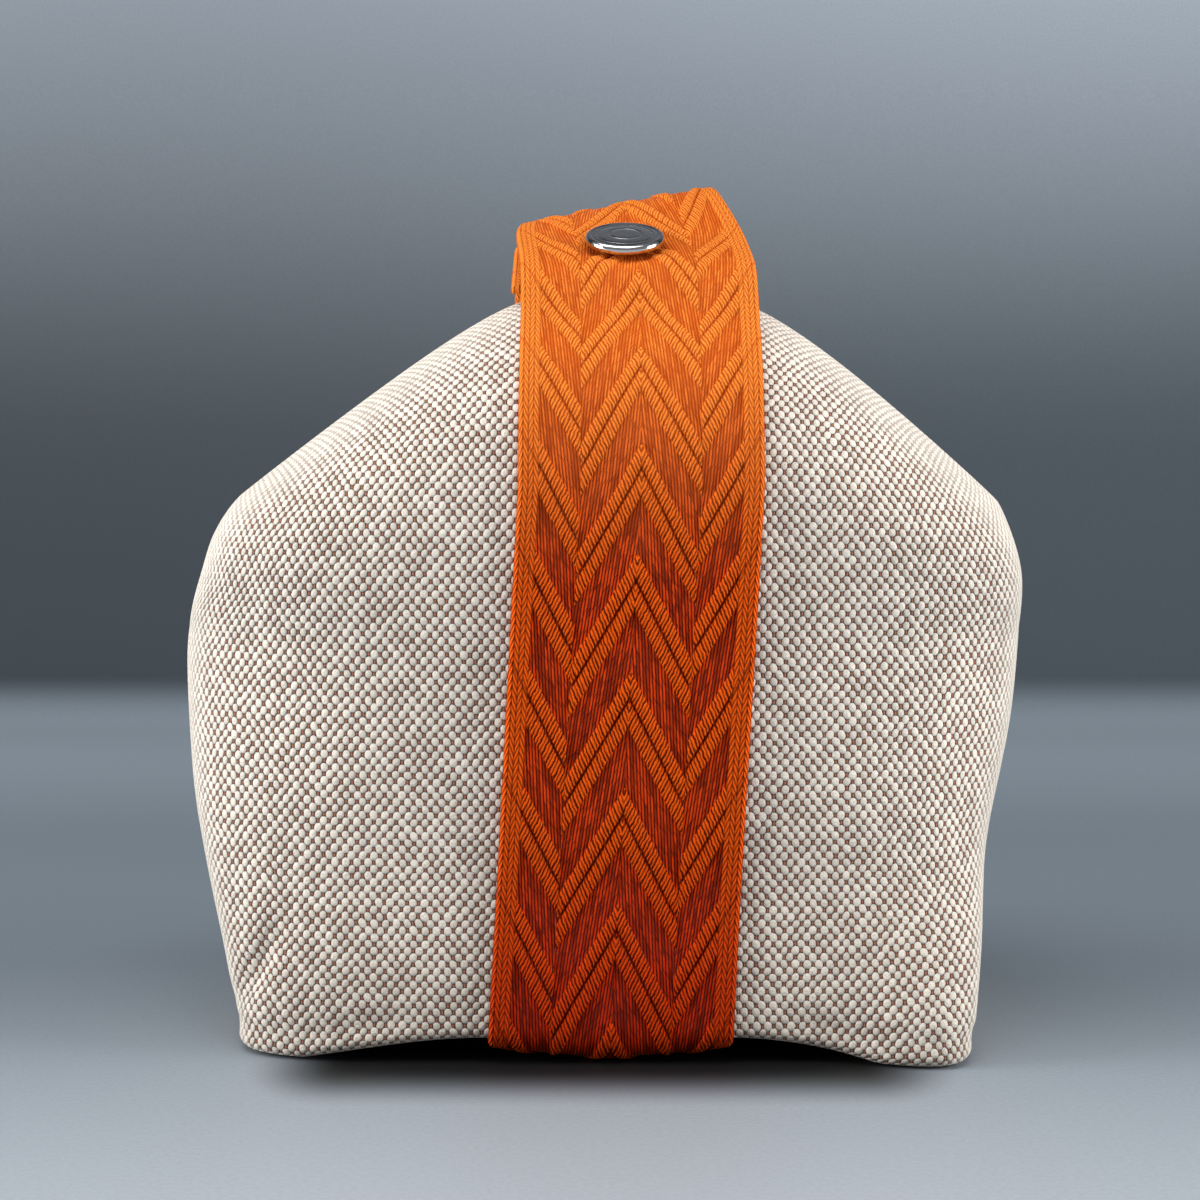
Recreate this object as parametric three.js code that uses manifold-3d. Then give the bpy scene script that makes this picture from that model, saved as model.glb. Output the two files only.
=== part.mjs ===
// A soft canvas vanity bag with a boxed base, a zip along its arched ridge and one wide
// webbing strap that wraps the body and snaps shut over the top.
// Millimetres. +X to the right, +Y to the back, +Z up. The origin is on the ground under the middle.

import * as THREE from 'three';
import { mergeVertices } from 'three/addons/utils/BufferGeometryUtils.js';
import Module from 'manifold-3d';

const wasm = await Module();
wasm.setup();

// Clearances
const SEAM_GAP = 0.3;
const FLOOR_GAP = 0.1;
const RUNNING_GAP = 0.35;

// Canvas body
const CANVAS_THICKNESS = 1.6;
const BASE_HALF_WIDTH = 74.5;
const BASE_HALF_DEPTH = 46;
const BASE_EDGE = 4;
const BASE_SQUARENESS = 9;
const BASE_HALF_LEVEL = 44;
const BASE_ARCH_POWER = 2;
const FOOT_PUSH = 3;
const CORNER_PUSH = 8;
const FOOT_REACH = 42;
const SHOULDER_HEIGHT = 86;
const SHOULDER_HALF_WIDTH = 91;
const SHOULDER_HALF_DEPTH = 47;
const SHOULDER_SQUARENESS = 2.7;
const PEAK_HEIGHT = 158;
const CREST_SHIFT = 6;
const CREST_HALF_FLAT = 14;
const CREST_SLOPE = 0.78;
const CREST_ROUNDING = 12;
const RIDGE_HALF_LENGTH = 80;
const RIDGE_HALF_DEPTH = 9.5;
const RIDGE_SQUARENESS = 4;
const HEM_HALF_DEPTH = 13;
const MOUTH_HALF_DEPTH = 6;
const EDGE_STEPS = 2;
const WALL_STEPS = 4;
const ROOF_STEPS = 8;
const ROOF_RISE_POWER = 4;
const ROOF_INWARD_POWER = 0.75;
const OUTLINE_POINTS = 40;

// Lining
const LINING_THICKNESS = 0.6;
const POCKET_HALF_WIDTH = 45;
const POCKET_BOTTOM = 24;
const POCKET_BELOW_SHOULDER = 2;
const POCKET_THICKNESS = 0.6;

// Zip
const ZIP_RADIUS = 85;
const ZIP_BELOW_PEAK = 10;
const ZIP_SHIFT = 3;
const ZIP_CENTRE_HEIGHT = PEAK_HEIGHT - ZIP_BELOW_PEAK - ZIP_RADIUS;
const MOUTH_HALF_ANGLE = 58;
const TAPE_HALF_ANGLE = 57;
const TAPE_HALF_DEPTH = 12.5;
const TAPE_THICKNESS = 0.6;
const TEETH_HALF_ANGLE = 49;
const TEETH_HEIGHT = 2;
const TEETH_BELOW_RADIUS = 0.7;
const TOOTH_PITCH = 3.2;
const TOOTH_ROOT = 1.2;
const TOOTH_TIP = 0.8;
const SPINE_NEAR = 1.3;
const SPINE_FAR = 2.6;
const STOP_LENGTH = 2.4;
const TAB_HALF_DEPTH = 5.5;
const TAB_THICKNESS = 0.8;

// Slider and pull
const SLIDER_REST_ANGLE = 45;
const SLIDER_HALF_LENGTH = 5.5;
const SLIDER_HALF_DEPTH = 4.3;
const SLIDER_NOSE_HALF_DEPTH = 3.4;
const PLATE_THICKNESS = 1;
const CROWN_AHEAD = 1.2;
const CROWN_HALF_DEPTH = 0.8;
const CROWN_HALF_LENGTH = 2.9;
const CROWN_LEG = 1;
const CROWN_OPENING = 2;
const CROWN_BAR = 0.7;
const PULL_LENGTH = 16;
const PULL_HALF_WIDTH = 2.9;
const PULL_THICKNESS = 1;
const PULL_EYE_LENGTH = 4;
const PULL_DIP = 4;

// Strap
const STRAP_WIDTH = 50;
const STRAP_THICKNESS = 2;
const STRAP_DRIFT_BASE = 1.5;
const STRAP_DRIFT_FRONT = 7;
const STRAP_DRIFT_BACK = 0;
const FOLD_HALF_DEPTH = 28;
const FLAP_TIP_DEPTH = 39;
const FLAP_TIP_GAP = 2.4;
const FLAP_FRONT_HANDLE = 7;
const FLAP_BACK_HANDLE = 40;
const FLAP_TIP_HANDLE = 20;
const TONGUE_TIP_LENGTH = 9.5;
const TONGUE_HANDLE = 30;
const TONGUE_ROOT_HANDLE = 12;
const STRAP_BEND_STEPS = 10;

// Snap
const SNAP_DEPTH = -6;
const SNAP_TILT = 22;
const CAP_RADIUS = 8.2;
const CAP_HEIGHT = 2.3;
const CAP_RIM = 1.3;
const CAP_GROOVE = 0.5;
const BARREL_RADIUS = 1.7;
const SOCKET_RADIUS = 6.2;
const SOCKET_HEIGHT = 2.4;
const SOCKET_ROOF = 0.45;
const STUD_RADIUS = 2.1;
const STUD_HEIGHT = 1.9;
const STUD_SLACK = 1;
const FLANGE_RADIUS = 5.6;
const FLANGE_THICKNESS = 0.5;
const ROUND_SIDES = 28;

const RAD = Math.PI / 180;

// Solids from rings
// Each ring is a closed polygon whose first half runs one way and whose second half comes back,
// so that its end caps are strips between facing points.
function loft(rings) {
  const count = rings[0].length;
  const positions = [];
  for (const ring of rings) {
    for (const point of ring) positions.push(point.x, point.y, point.z);
  }
  const triangles = [];
  for (let row = 0; row + 1 < rings.length; row += 1) {
    for (let column = 0; column < count; column += 1) {
      const next = (column + 1) % count;
      const a = row * count + column;
      const b = row * count + next;
      const c = a + count;
      const d = b + count;
      triangles.push(a, b, d, a, d, c);
    }
  }
  const last = (rings.length - 1) * count;
  for (let column = 0; column + 1 < count / 2; column += 1) {
    const facing = count - 1 - column;
    triangles.push(column, facing, facing - 1, column, facing - 1, column + 1);
    const p = last + column;
    const q = last + facing;
    triangles.push(p, q - 1, q, p, p + 1, q - 1);
  }
  const geometry = new THREE.BufferGeometry();
  geometry.setAttribute('position', new THREE.Float32BufferAttribute(positions, 3));
  geometry.setIndex(triangles);
  return facingOut(geometry);
}

// Turns the faces over when the enclosed volume comes out negative.
function facingOut(geometry) {
  const place = geometry.attributes.position;
  const index = geometry.index.array;
  const [a, b, c] = [new THREE.Vector3(), new THREE.Vector3(), new THREE.Vector3()];
  let volume = 0;
  for (let i = 0; i < index.length; i += 3) {
    a.fromBufferAttribute(place, index[i]);
    b.fromBufferAttribute(place, index[i + 1]);
    c.fromBufferAttribute(place, index[i + 2]);
    volume += a.dot(b.cross(c));
  }
  if (volume < 0) {
    for (let i = 0; i < index.length; i += 3) {
      const kept = index[i + 1];
      index[i + 1] = index[i + 2];
      index[i + 2] = kept;
    }
  }
  return geometry;
}

// Boolean cuts and joins
function solid(geometry) {
  const bare = geometry.clone();
  bare.deleteAttribute('normal');
  bare.deleteAttribute('uv');
  const merged = mergeVertices(bare, 1e-4);
  return new wasm.Manifold(new wasm.Mesh({
    numProp: 3,
    vertProperties: new Float32Array(merged.attributes.position.array),
    triVerts: new Uint32Array(merged.index.array),
  }));
}

function geometryOf(manifold) {
  const mesh = manifold.getMesh();
  const geometry = new THREE.BufferGeometry();
  geometry.setAttribute('position', new THREE.Float32BufferAttribute(mesh.vertProperties, 3));
  geometry.setIndex(Array.from(mesh.triVerts));
  return geometry;
}

function box(low, high) {
  const size = new THREE.Vector3().subVectors(high, low);
  const middle = new THREE.Vector3().addVectors(low, high).multiplyScalar(0.5);
  return new THREE.BoxGeometry(size.x, size.y, size.z).translate(middle.x, middle.y, middle.z);
}

// Canvas form
// The crest is level under the strap and falls away to both shoulders.
function crestHeight(x) {
  const beyond = Math.max(0, Math.abs(x - CREST_SHIFT) - CREST_HALF_FLAT);
  return PEAK_HEIGHT - (Math.hypot(CREST_SLOPE * beyond, CREST_ROUNDING) - CREST_ROUNDING);
}

// The base stands on the strap in the middle and droops to the ground at its corners.
function baseHeight(x) {
  const beyond = Math.max(0, Math.abs(x) - BASE_HALF_LEVEL);
  const share = Math.min(1, beyond / (BASE_HALF_WIDTH - BASE_EDGE - BASE_HALF_LEVEL));
  const arch = STRAP_THICKNESS + SEAM_GAP - FLOOR_GAP;
  return FLOOR_GAP + arch * (1 - share ** BASE_ARCH_POWER);
}

// The plan outline at a height on the wall: half width, half depth and how square its corners are.
function wallLevel(height, inset) {
  const swell = Math.sin((height / SHOULDER_HEIGHT) * 90 * RAD);
  const mix = THREE.MathUtils.lerp;
  return {
    height,
    rise: 0,
    halfWidth: mix(BASE_HALF_WIDTH, SHOULDER_HALF_WIDTH, swell) - inset,
    halfDepth: mix(BASE_HALF_DEPTH, SHOULDER_HALF_DEPTH, swell) - inset,
    squareness: mix(BASE_SQUARENESS, SHOULDER_SQUARENESS, swell),
  };
}

// Levels from the base edge up to the ridge. A wall level has a height, and a roof level a share of
// the way from the shoulder to the crest above it.
function bodyLevels() {
  const levels = [];
  for (let step = 0; step < EDGE_STEPS; step += 1) {
    const angle = (step / EDGE_STEPS) * 90 * RAD;
    levels.push(wallLevel(BASE_EDGE * (1 - Math.cos(angle)), BASE_EDGE * (1 - Math.sin(angle))));
  }
  for (let step = 0; step <= WALL_STEPS; step += 1) {
    levels.push(wallLevel(THREE.MathUtils.lerp(BASE_EDGE, SHOULDER_HEIGHT, step / WALL_STEPS), 0));
  }
  const shoulder = levels[levels.length - 1];
  for (let step = 1; step <= ROOF_STEPS; step += 1) {
    const rise = Math.sin((step / ROOF_STEPS) * 90 * RAD);
    const inward = (1 - rise ** ROOF_RISE_POWER) ** ROOF_INWARD_POWER;
    const narrowing = Math.sqrt(1 - rise ** 2);
    levels.push({
      height: SHOULDER_HEIGHT,
      rise,
      halfWidth: RIDGE_HALF_LENGTH + (shoulder.halfWidth - RIDGE_HALF_LENGTH) * narrowing,
      halfDepth: RIDGE_HALF_DEPTH + (shoulder.halfDepth - RIDGE_HALF_DEPTH) * inward,
      squareness: shoulder.squareness + (RIDGE_SQUARENESS - shoulder.squareness) * rise,
    });
  }
  return levels;
}

function levelHeight(level, x, inset) {
  if (level.rise > 0) {
    return level.height + (crestHeight(x) - inset - level.height) * level.rise;
  }
  const fade = 1 - level.height / SHOULDER_HEIGHT;
  return level.height + (baseHeight(x) + inset) * fade;
}

// The foot of the front comes forward, most at its right corner, because the base stands a little
// askew. The foot of the back does the same the other way round.
function pushedFoot(x, y, z) {
  const ease = THREE.MathUtils.smoothstep;
  const side = Math.sign(y);
  const low = (1 - ease(z, 0, FOOT_REACH)) * ease(Math.abs(y), BASE_EDGE, BASE_HALF_DEPTH - 2 * BASE_EDGE);
  const nearCorner = ease(-side * x, BASE_HALF_LEVEL, BASE_HALF_WIDTH);
  const farCorner = ease(side * x, BASE_HALF_LEVEL, BASE_HALF_WIDTH);
  return y + side * low * (FOOT_PUSH * (1 - farCorner) + CORNER_PUSH * nearCorner);
}

// The filled bag form, drawn in by an inset on every side.
function bagForm(inset) {
  const rings = bodyLevels().map((level) => {
    const ring = [];
    for (let step = 0; step < OUTLINE_POINTS; step += 1) {
      const angle = ((step + 0.5) / OUTLINE_POINTS) * 2 * Math.PI;
      const power = 2 / level.squareness;
      const c = Math.cos(angle);
      const s = Math.sin(angle);
      const x = Math.sign(c) * Math.abs(c) ** power * (level.halfWidth - inset);
      const y = Math.sign(s) * Math.abs(s) ** power * (level.halfDepth - inset);
      const z = levelHeight(level, x, inset);
      ring.push(new THREE.Vector3(x, pushedFoot(x, y, z), z));
    }
    return ring;
  });
  return solid(loft(rings));
}

// Places on the zip's arc: an angle from straight up, a radius from the arc's centre, and a depth.
function onArc(degrees, radius, y) {
  const angle = degrees * RAD;
  return new THREE.Vector3(
    ZIP_SHIFT + radius * Math.sin(angle),
    y,
    ZIP_CENTRE_HEIGHT + radius * Math.cos(angle),
  );
}

function arcRing(degrees, low, high, near, far) {
  return [
    onArc(degrees, low, near),
    onArc(degrees, high, near),
    onArc(degrees, high, far),
    onArc(degrees, low, far),
  ];
}

function arcBar(from, to, low, high, near, far) {
  const steps = Math.max(2, Math.round(Math.abs(to - from) / 4));
  const rings = [];
  for (let step = 0; step <= steps; step += 1) {
    rings.push(arcRing(from + ((to - from) * step) / steps, low, high, near, far));
  }
  return loft(rings);
}

// The zip's layers, counted outwards from the arc's centre.
const TEETH_LOW = ZIP_RADIUS - TEETH_BELOW_RADIUS;
const TEETH_HIGH = TEETH_LOW + TEETH_HEIGHT;
const TAPE_HIGH = TEETH_LOW - SEAM_GAP;
const TAPE_LOW = TAPE_HIGH - TAPE_THICKNESS;
const HEM_LOW = TAPE_HIGH + SEAM_GAP;
const LINING_HIGH = TAPE_LOW - SEAM_GAP;
const BEYOND = 2 * PEAK_HEIGHT;

function hemBlock(low, halfDepth) {
  return solid(arcBar(-90, 90, low, BEYOND, -halfDepth, halfDepth));
}

function mouthCut(halfDepth) {
  return solid(arcBar(-MOUTH_HALF_ANGLE, MOUTH_HALF_ANGLE, ZIP_RADIUS / 2, BEYOND, -halfDepth, halfDepth));
}

// One half of a shell, in front of the seam or behind it.
function seamHalf(shell, side) {
  const near = (side * SEAM_GAP) / 2;
  const far = side * BEYOND;
  const low = new THREE.Vector3(-BEYOND, Math.min(near, far), -BEYOND);
  const high = new THREE.Vector3(BEYOND, Math.max(near, far), BEYOND);
  return geometryOf(shell.intersect(solid(box(low, high))));
}

const LINING_INSET = CANVAS_THICKNESS + SEAM_GAP;
const LINING_INNER_INSET = LINING_INSET + LINING_THICKNESS;

function canvasShell() {
  const hollow = bagForm(CANVAS_THICKNESS).subtract(hemBlock(HEM_LOW, HEM_HALF_DEPTH));
  return bagForm(0).subtract(hollow).subtract(mouthCut(MOUTH_HALF_DEPTH));
}

function liningShell() {
  const hemGap = HEM_HALF_DEPTH + SEAM_GAP;
  const outer = bagForm(LINING_INSET).subtract(hemBlock(LINING_HIGH, hemGap));
  const innerHem = hemBlock(LINING_HIGH - LINING_THICKNESS, hemGap + LINING_THICKNESS);
  const inner = bagForm(LINING_INNER_INSET).subtract(innerHem);
  return outer.subtract(inner).subtract(mouthCut(MOUTH_HALF_DEPTH));
}

// A slip pocket that lies against the inside of the back lining.
function liningPocket() {
  const rows = 6;
  const columns = 10;
  const top = SHOULDER_HEIGHT - POCKET_BELOW_SHOULDER;
  const depthAt = (x, z) => {
    const { halfWidth, halfDepth, squareness } = wallLevel(z, LINING_INNER_INSET);
    const back = halfDepth * (1 - (Math.abs(x) / halfWidth) ** squareness) ** (1 / squareness);
    return pushedFoot(x, back, z);
  };
  const rings = [];
  for (let row = 0; row <= rows; row += 1) {
    const z = POCKET_BOTTOM + ((top - POCKET_BOTTOM) * row) / rows;
    const outer = [];
    const inner = [];
    for (let column = 0; column <= columns; column += 1) {
      const x = POCKET_HALF_WIDTH * ((2 * column) / columns - 1);
      const y = depthAt(x, z) - 2 * SEAM_GAP;
      outer.push(new THREE.Vector3(x, y, z));
      inner.unshift(new THREE.Vector3(x, y - POCKET_THICKNESS, z));
    }
    rings.push([...outer, ...inner]);
  }
  return loft(rings);
}

// Zip
function zipTape(side) {
  const ends = [side * (SEAM_GAP / 2), side * TAPE_HALF_DEPTH];
  return arcBar(-TAPE_HALF_ANGLE, TAPE_HALF_ANGLE, TAPE_LOW, TAPE_HIGH, Math.min(...ends), Math.max(...ends));
}

// One row of teeth on its spine. The rows are half a pitch apart, so that they mesh.
function zipTeeth(side) {
  const perDegree = ZIP_RADIUS * RAD;
  const pitch = TOOTH_PITCH / perDegree;
  const root = TOOTH_ROOT / perDegree;
  const tip = TOOTH_TIP / perDegree;
  const reach = -side * (SPINE_NEAR - SEAM_GAP);
  const ring = (degrees, near) => arcRing(degrees, TEETH_LOW, TEETH_HIGH, near, side * SPINE_FAR);
  const rings = [ring(-TEETH_HALF_ANGLE, side * SPINE_NEAR)];
  const shift = side > 0 ? 0.75 : 0.25;
  const count = Math.floor((2 * TEETH_HALF_ANGLE) / pitch);
  const start = -(count * pitch) / 2;
  for (let tooth = 0; tooth < count; tooth += 1) {
    const middle = start + (tooth + shift) * pitch;
    rings.push(ring(middle - root / 2, side * SPINE_NEAR));
    rings.push(ring(middle - tip / 2, reach));
    rings.push(ring(middle + tip / 2, reach));
    rings.push(ring(middle + root / 2, side * SPINE_NEAR));
  }
  rings.push(ring(TEETH_HALF_ANGLE, side * SPINE_NEAR));
  return loft(rings);
}

function zipStop(side) {
  const from = TEETH_HALF_ANGLE + SEAM_GAP / (ZIP_RADIUS * RAD);
  const to = from + STOP_LENGTH / (ZIP_RADIUS * RAD);
  return arcBar(side * from, side * to, TEETH_LOW, TEETH_HIGH, -SPINE_FAR, SPINE_FAR);
}

function zipTab(side) {
  const from = TEETH_HALF_ANGLE + (2 * SEAM_GAP + STOP_LENGTH) / (ZIP_RADIUS * RAD);
  const low = TAPE_HIGH + SEAM_GAP;
  const high = low + TAB_THICKNESS;
  return arcBar(side * from, side * TAPE_HALF_ANGLE, low, high, -TAB_HALF_DEPTH, TAB_HALF_DEPTH);
}

// The slider is drawn with its travel along +X and its outward side along +Z, at the height of the
// teeth's middle line, and is turned to its place on the arc by its group.
const PLATE_LOW = TEETH_HIGH - ZIP_RADIUS + RUNNING_GAP;
const PLATE_HIGH = PLATE_LOW + PLATE_THICKNESS;
const PIVOT_HEIGHT = PLATE_HIGH + CROWN_OPENING / 2;
const CROWN_EYE = CROWN_HALF_LENGTH - CROWN_LEG;
const PIVOT_AHEAD = CROWN_AHEAD + CROWN_EYE - PULL_THICKNESS;

function plateOutline() {
  const waist = SLIDER_HALF_LENGTH / 2;
  return new THREE.Shape([
    new THREE.Vector2(-SLIDER_HALF_LENGTH, -SLIDER_NOSE_HALF_DEPTH),
    new THREE.Vector2(waist, -SLIDER_HALF_DEPTH),
    new THREE.Vector2(SLIDER_HALF_LENGTH, -SLIDER_NOSE_HALF_DEPTH),
    new THREE.Vector2(SLIDER_HALF_LENGTH, SLIDER_NOSE_HALF_DEPTH),
    new THREE.Vector2(waist, SLIDER_HALF_DEPTH),
    new THREE.Vector2(-SLIDER_HALF_LENGTH, SLIDER_NOSE_HALF_DEPTH),
  ]);
}

function plate(low, high) {
  const options = { depth: high - low, bevelEnabled: false };
  return new THREE.ExtrudeGeometry(plateOutline(), options).translate(0, 0, low);
}

function slider() {
  const skirtLow = TAPE_HIGH - ZIP_RADIUS + RUNNING_GAP;
  const inside = SPINE_FAR + RUNNING_GAP;
  const long = 2 * SLIDER_HALF_LENGTH;
  const channel = box(
    new THREE.Vector3(-long, -inside, skirtLow - 1),
    new THREE.Vector3(long, inside, PLATE_LOW),
  );
  const crownTop = PLATE_HIGH + CROWN_OPENING + CROWN_BAR;
  const crown = box(
    new THREE.Vector3(CROWN_AHEAD - CROWN_HALF_LENGTH, -CROWN_HALF_DEPTH, PLATE_LOW + PLATE_THICKNESS / 2),
    new THREE.Vector3(CROWN_AHEAD + CROWN_HALF_LENGTH, CROWN_HALF_DEPTH, crownTop),
  );
  const opening = box(
    new THREE.Vector3(CROWN_AHEAD - CROWN_EYE, -SLIDER_HALF_DEPTH, PLATE_HIGH),
    new THREE.Vector3(CROWN_AHEAD + CROWN_EYE, SLIDER_HALF_DEPTH, PLATE_HIGH + CROWN_OPENING),
  );
  const body = solid(plate(skirtLow, PLATE_HIGH)).subtract(solid(channel));
  return geometryOf(body.add(solid(crown)).subtract(solid(opening)));
}

function sliderBase() {
  const high = TAPE_LOW - ZIP_RADIUS - RUNNING_GAP;
  return plate(high - PLATE_THICKNESS, high);
}

// The pull is a drop-shaped tab with an eye round the crown's leg, drawn from its pivot along +X.
function pull() {
  const bar = PULL_THICKNESS / 2;
  const neck = PULL_HALF_WIDTH * 0.8;
  const tail = PULL_LENGTH - PULL_HALF_WIDTH;
  const outline = new THREE.Shape();
  outline.moveTo(-bar, -neck);
  outline.lineTo(PULL_EYE_LENGTH, -neck);
  outline.lineTo(tail, -PULL_HALF_WIDTH);
  outline.absarc(tail, 0, PULL_HALF_WIDTH, -Math.PI / 2, Math.PI / 2, false);
  outline.lineTo(PULL_EYE_LENGTH, neck);
  outline.lineTo(-bar, neck);
  outline.closePath();
  const side = CROWN_HALF_DEPTH + RUNNING_GAP;
  outline.holes.push(new THREE.Path([
    new THREE.Vector2(bar, -side),
    new THREE.Vector2(bar, side),
    new THREE.Vector2(PULL_EYE_LENGTH, side),
    new THREE.Vector2(PULL_EYE_LENGTH, -side),
  ]));
  const options = { depth: PULL_THICKNESS, bevelEnabled: false, curveSegments: 8 };
  return new THREE.ExtrudeGeometry(outline, options).translate(0, 0, -PULL_THICKNESS / 2);
}

// Strap
// A ribbon across X on a line in the YZ plane. The line is the ribbon's inner face, and its outer face
// lies one thickness to the left of the line's direction.
function ribbon(line) {
  const rings = line.map((point, index) => {
    const before = line[Math.max(0, index - 1)];
    const after = line[Math.min(line.length - 1, index + 1)];
    const along = new THREE.Vector2().subVectors(after, before).normalize();
    const out = new THREE.Vector2(-along.y, along.x).multiplyScalar(STRAP_THICKNESS);
    const left = drift(point) - STRAP_WIDTH / 2;
    const right = left + STRAP_WIDTH;
    return [
      new THREE.Vector3(left, point.x + out.x, point.y + out.y),
      new THREE.Vector3(right, point.x + out.x, point.y + out.y),
      new THREE.Vector3(right, point.x, point.y),
      new THREE.Vector3(left, point.x, point.y),
    ];
  });
  return loft(rings);
}

// The roof's height over the bag's middle at a given half depth.
function roofHeight(halfDepth) {
  const shoulder = wallLevel(SHOULDER_HEIGHT, 0);
  const inward = (halfDepth - RIDGE_HALF_DEPTH) / (shoulder.halfDepth - RIDGE_HALF_DEPTH);
  const rise = (1 - inward ** (1 / ROOF_INWARD_POWER)) ** (1 / ROOF_RISE_POWER);
  return SHOULDER_HEIGHT + (PEAK_HEIGHT - SHOULDER_HEIGHT) * rise;
}

// A point of the roof's middle line, moved off the canvas, and the uphill direction there.
function roofPlace(halfDepth, lift) {
  const step = 0.5;
  const low = new THREE.Vector2(halfDepth + step, roofHeight(halfDepth + step));
  const high = new THREE.Vector2(halfDepth - step, roofHeight(halfDepth - step));
  const uphill = new THREE.Vector2().subVectors(high, low).normalize();
  const off = new THREE.Vector2(uphill.y, -uphill.x).multiplyScalar(lift);
  return { place: new THREE.Vector2(halfDepth, roofHeight(halfDepth)).add(off), uphill };
}

const flipped = (v) => new THREE.Vector2(-v.x, v.y);
const FOLD = roofPlace(FOLD_HALF_DEPTH, SEAM_GAP);

// The sewn part of the strap: down the back, under the base and up the front.
function wrapLine() {
  const underside = new THREE.Vector2(BASE_HALF_DEPTH - 2 * BASE_EDGE, STRAP_THICKNESS + SEAM_GAP);
  const side = [underside];
  for (const level of bodyLevels()) {
    if (level.rise > 0 && level.halfDepth <= FOLD_HALF_DEPTH + 1) break;
    const height = levelHeight(level, 0, 0);
    side.push(new THREE.Vector2(pushedFoot(0, level.halfDepth, height), height));
  }
  side.push(new THREE.Vector2(FOLD_HALF_DEPTH, roofHeight(FOLD_HALF_DEPTH)));
  const outline = [...side.slice().reverse(), ...side.map(flipped)];
  return outline.map((point, index) => {
    const before = outline[Math.max(0, index - 1)];
    const after = outline[Math.min(outline.length - 1, index + 1)];
    const along = new THREE.Vector2().subVectors(after, before).normalize();
    return point.clone().add(new THREE.Vector2(-along.y, along.x).multiplyScalar(SEAM_GAP));
  });
}

// The snap's axis leans forward, and its stack is counted along the axis from the tongue's inner face.
const SNAP_ACROSS = new THREE.Vector2(Math.cos(SNAP_TILT * RAD), Math.sin(SNAP_TILT * RAD));
const SNAP_AXIS = new THREE.Vector2(-SNAP_ACROSS.y, SNAP_ACROSS.x);
const POST_DROP = FLANGE_RADIUS * SNAP_ACROSS.y + SEAM_GAP + FLANGE_THICKNESS;
const SNAP_SEAT = new THREE.Vector2(SNAP_DEPTH, PEAK_HEIGHT + SEAM_GAP + POST_DROP);
const STUD_LOW = STRAP_THICKNESS + SEAM_GAP;
const SOCKET_LOW = STUD_LOW + FLANGE_THICKNESS + SEAM_GAP;
const SOCKET_HIGH = SOCKET_LOW + SOCKET_HEIGHT;
const FLAP_LOW = SOCKET_HIGH + SEAM_GAP;
const CAP_LOW = FLAP_LOW + STRAP_THICKNESS + SEAM_GAP;

function snapPlace(along, up) {
  return SNAP_SEAT.clone().addScaledVector(SNAP_ACROSS, along).addScaledVector(SNAP_AXIS, up);
}

function bend(from, fromWay, fromHandle, to, toWay, toHandle) {
  const first = from.clone().addScaledVector(fromWay, fromHandle);
  const second = to.clone().addScaledVector(toWay, -toHandle);
  return new THREE.CubicBezierCurve(from, first, second, to).getPoints(STRAP_BEND_STEPS);
}

// The flap rises from the front fold, lies flat on the snap, and falls to its tip behind the ridge.
function flapLine() {
  const uphill = flipped(FOLD.uphill);
  const start = flipped(FOLD.place).addScaledVector(uphill, SEAM_GAP);
  const near = snapPlace(-CAP_RADIUS, FLAP_LOW);
  const far = snapPlace(CAP_RADIUS, FLAP_LOW);
  const tip = roofPlace(FLAP_TIP_DEPTH, 2 * SEAM_GAP + STRAP_THICKNESS + FLAP_TIP_GAP);
  const downhill = tip.uphill.clone().negate();
  return [
    ...bend(start, uphill, FLAP_FRONT_HANDLE, near, SNAP_ACROSS, FLAP_FRONT_HANDLE),
    ...bend(far, SNAP_ACROSS, FLAP_BACK_HANDLE, tip.place, downhill, FLAP_TIP_HANDLE),
  ];
}

// The tongue lies under the flap, from its tip in front of the snap to the back fold.
function tongueLine() {
  const downhill = FOLD.uphill.clone().negate();
  const root = FOLD.place.clone().addScaledVector(FOLD.uphill, SEAM_GAP);
  const far = snapPlace(CAP_RADIUS, 0);
  return [
    snapPlace(-TONGUE_TIP_LENGTH, 0),
    ...bend(far, SNAP_ACROSS, TONGUE_HANDLE, root, downhill, TONGUE_ROOT_HANDLE),
  ];
}

// The strap wanders sideways: near the middle under the base, and off it at the front fold.
function drift(point) {
  const mix = THREE.MathUtils.lerp;
  const smooth = THREE.MathUtils.smoothstep;
  if (point.y > FOLD.place.y) {
    const over = smooth(point.x, -FOLD_HALF_DEPTH, FOLD_HALF_DEPTH);
    return mix(STRAP_DRIFT_FRONT, STRAP_DRIFT_BACK, over);
  }
  const top = point.x < 0 ? STRAP_DRIFT_FRONT : STRAP_DRIFT_BACK;
  return mix(STRAP_DRIFT_BASE, top, smooth(point.y, 0, FOLD.place.y));
}

const SNAP_SIDEWAYS = drift(snapPlace(0, FLAP_LOW));

function snapGroup() {
  const group = new THREE.Group();
  group.position.set(SNAP_SIDEWAYS, SNAP_SEAT.x, SNAP_SEAT.y);
  group.rotation.x = SNAP_TILT * RAD;
  group.updateMatrix();
  return group;
}

// A hole through the webbing for the snap's barrel.
function withBarrelHole(geometry, low, high) {
  const cutter = new THREE.CylinderGeometry(
    BARREL_RADIUS + SEAM_GAP,
    BARREL_RADIUS + SEAM_GAP,
    high - low,
    ROUND_SIDES,
  );
  cutter.rotateX(90 * RAD).translate(0, 0, (low + high) / 2).applyMatrix4(snapGroup().matrix);
  return geometryOf(solid(geometry).subtract(solid(cutter)));
}

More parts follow.
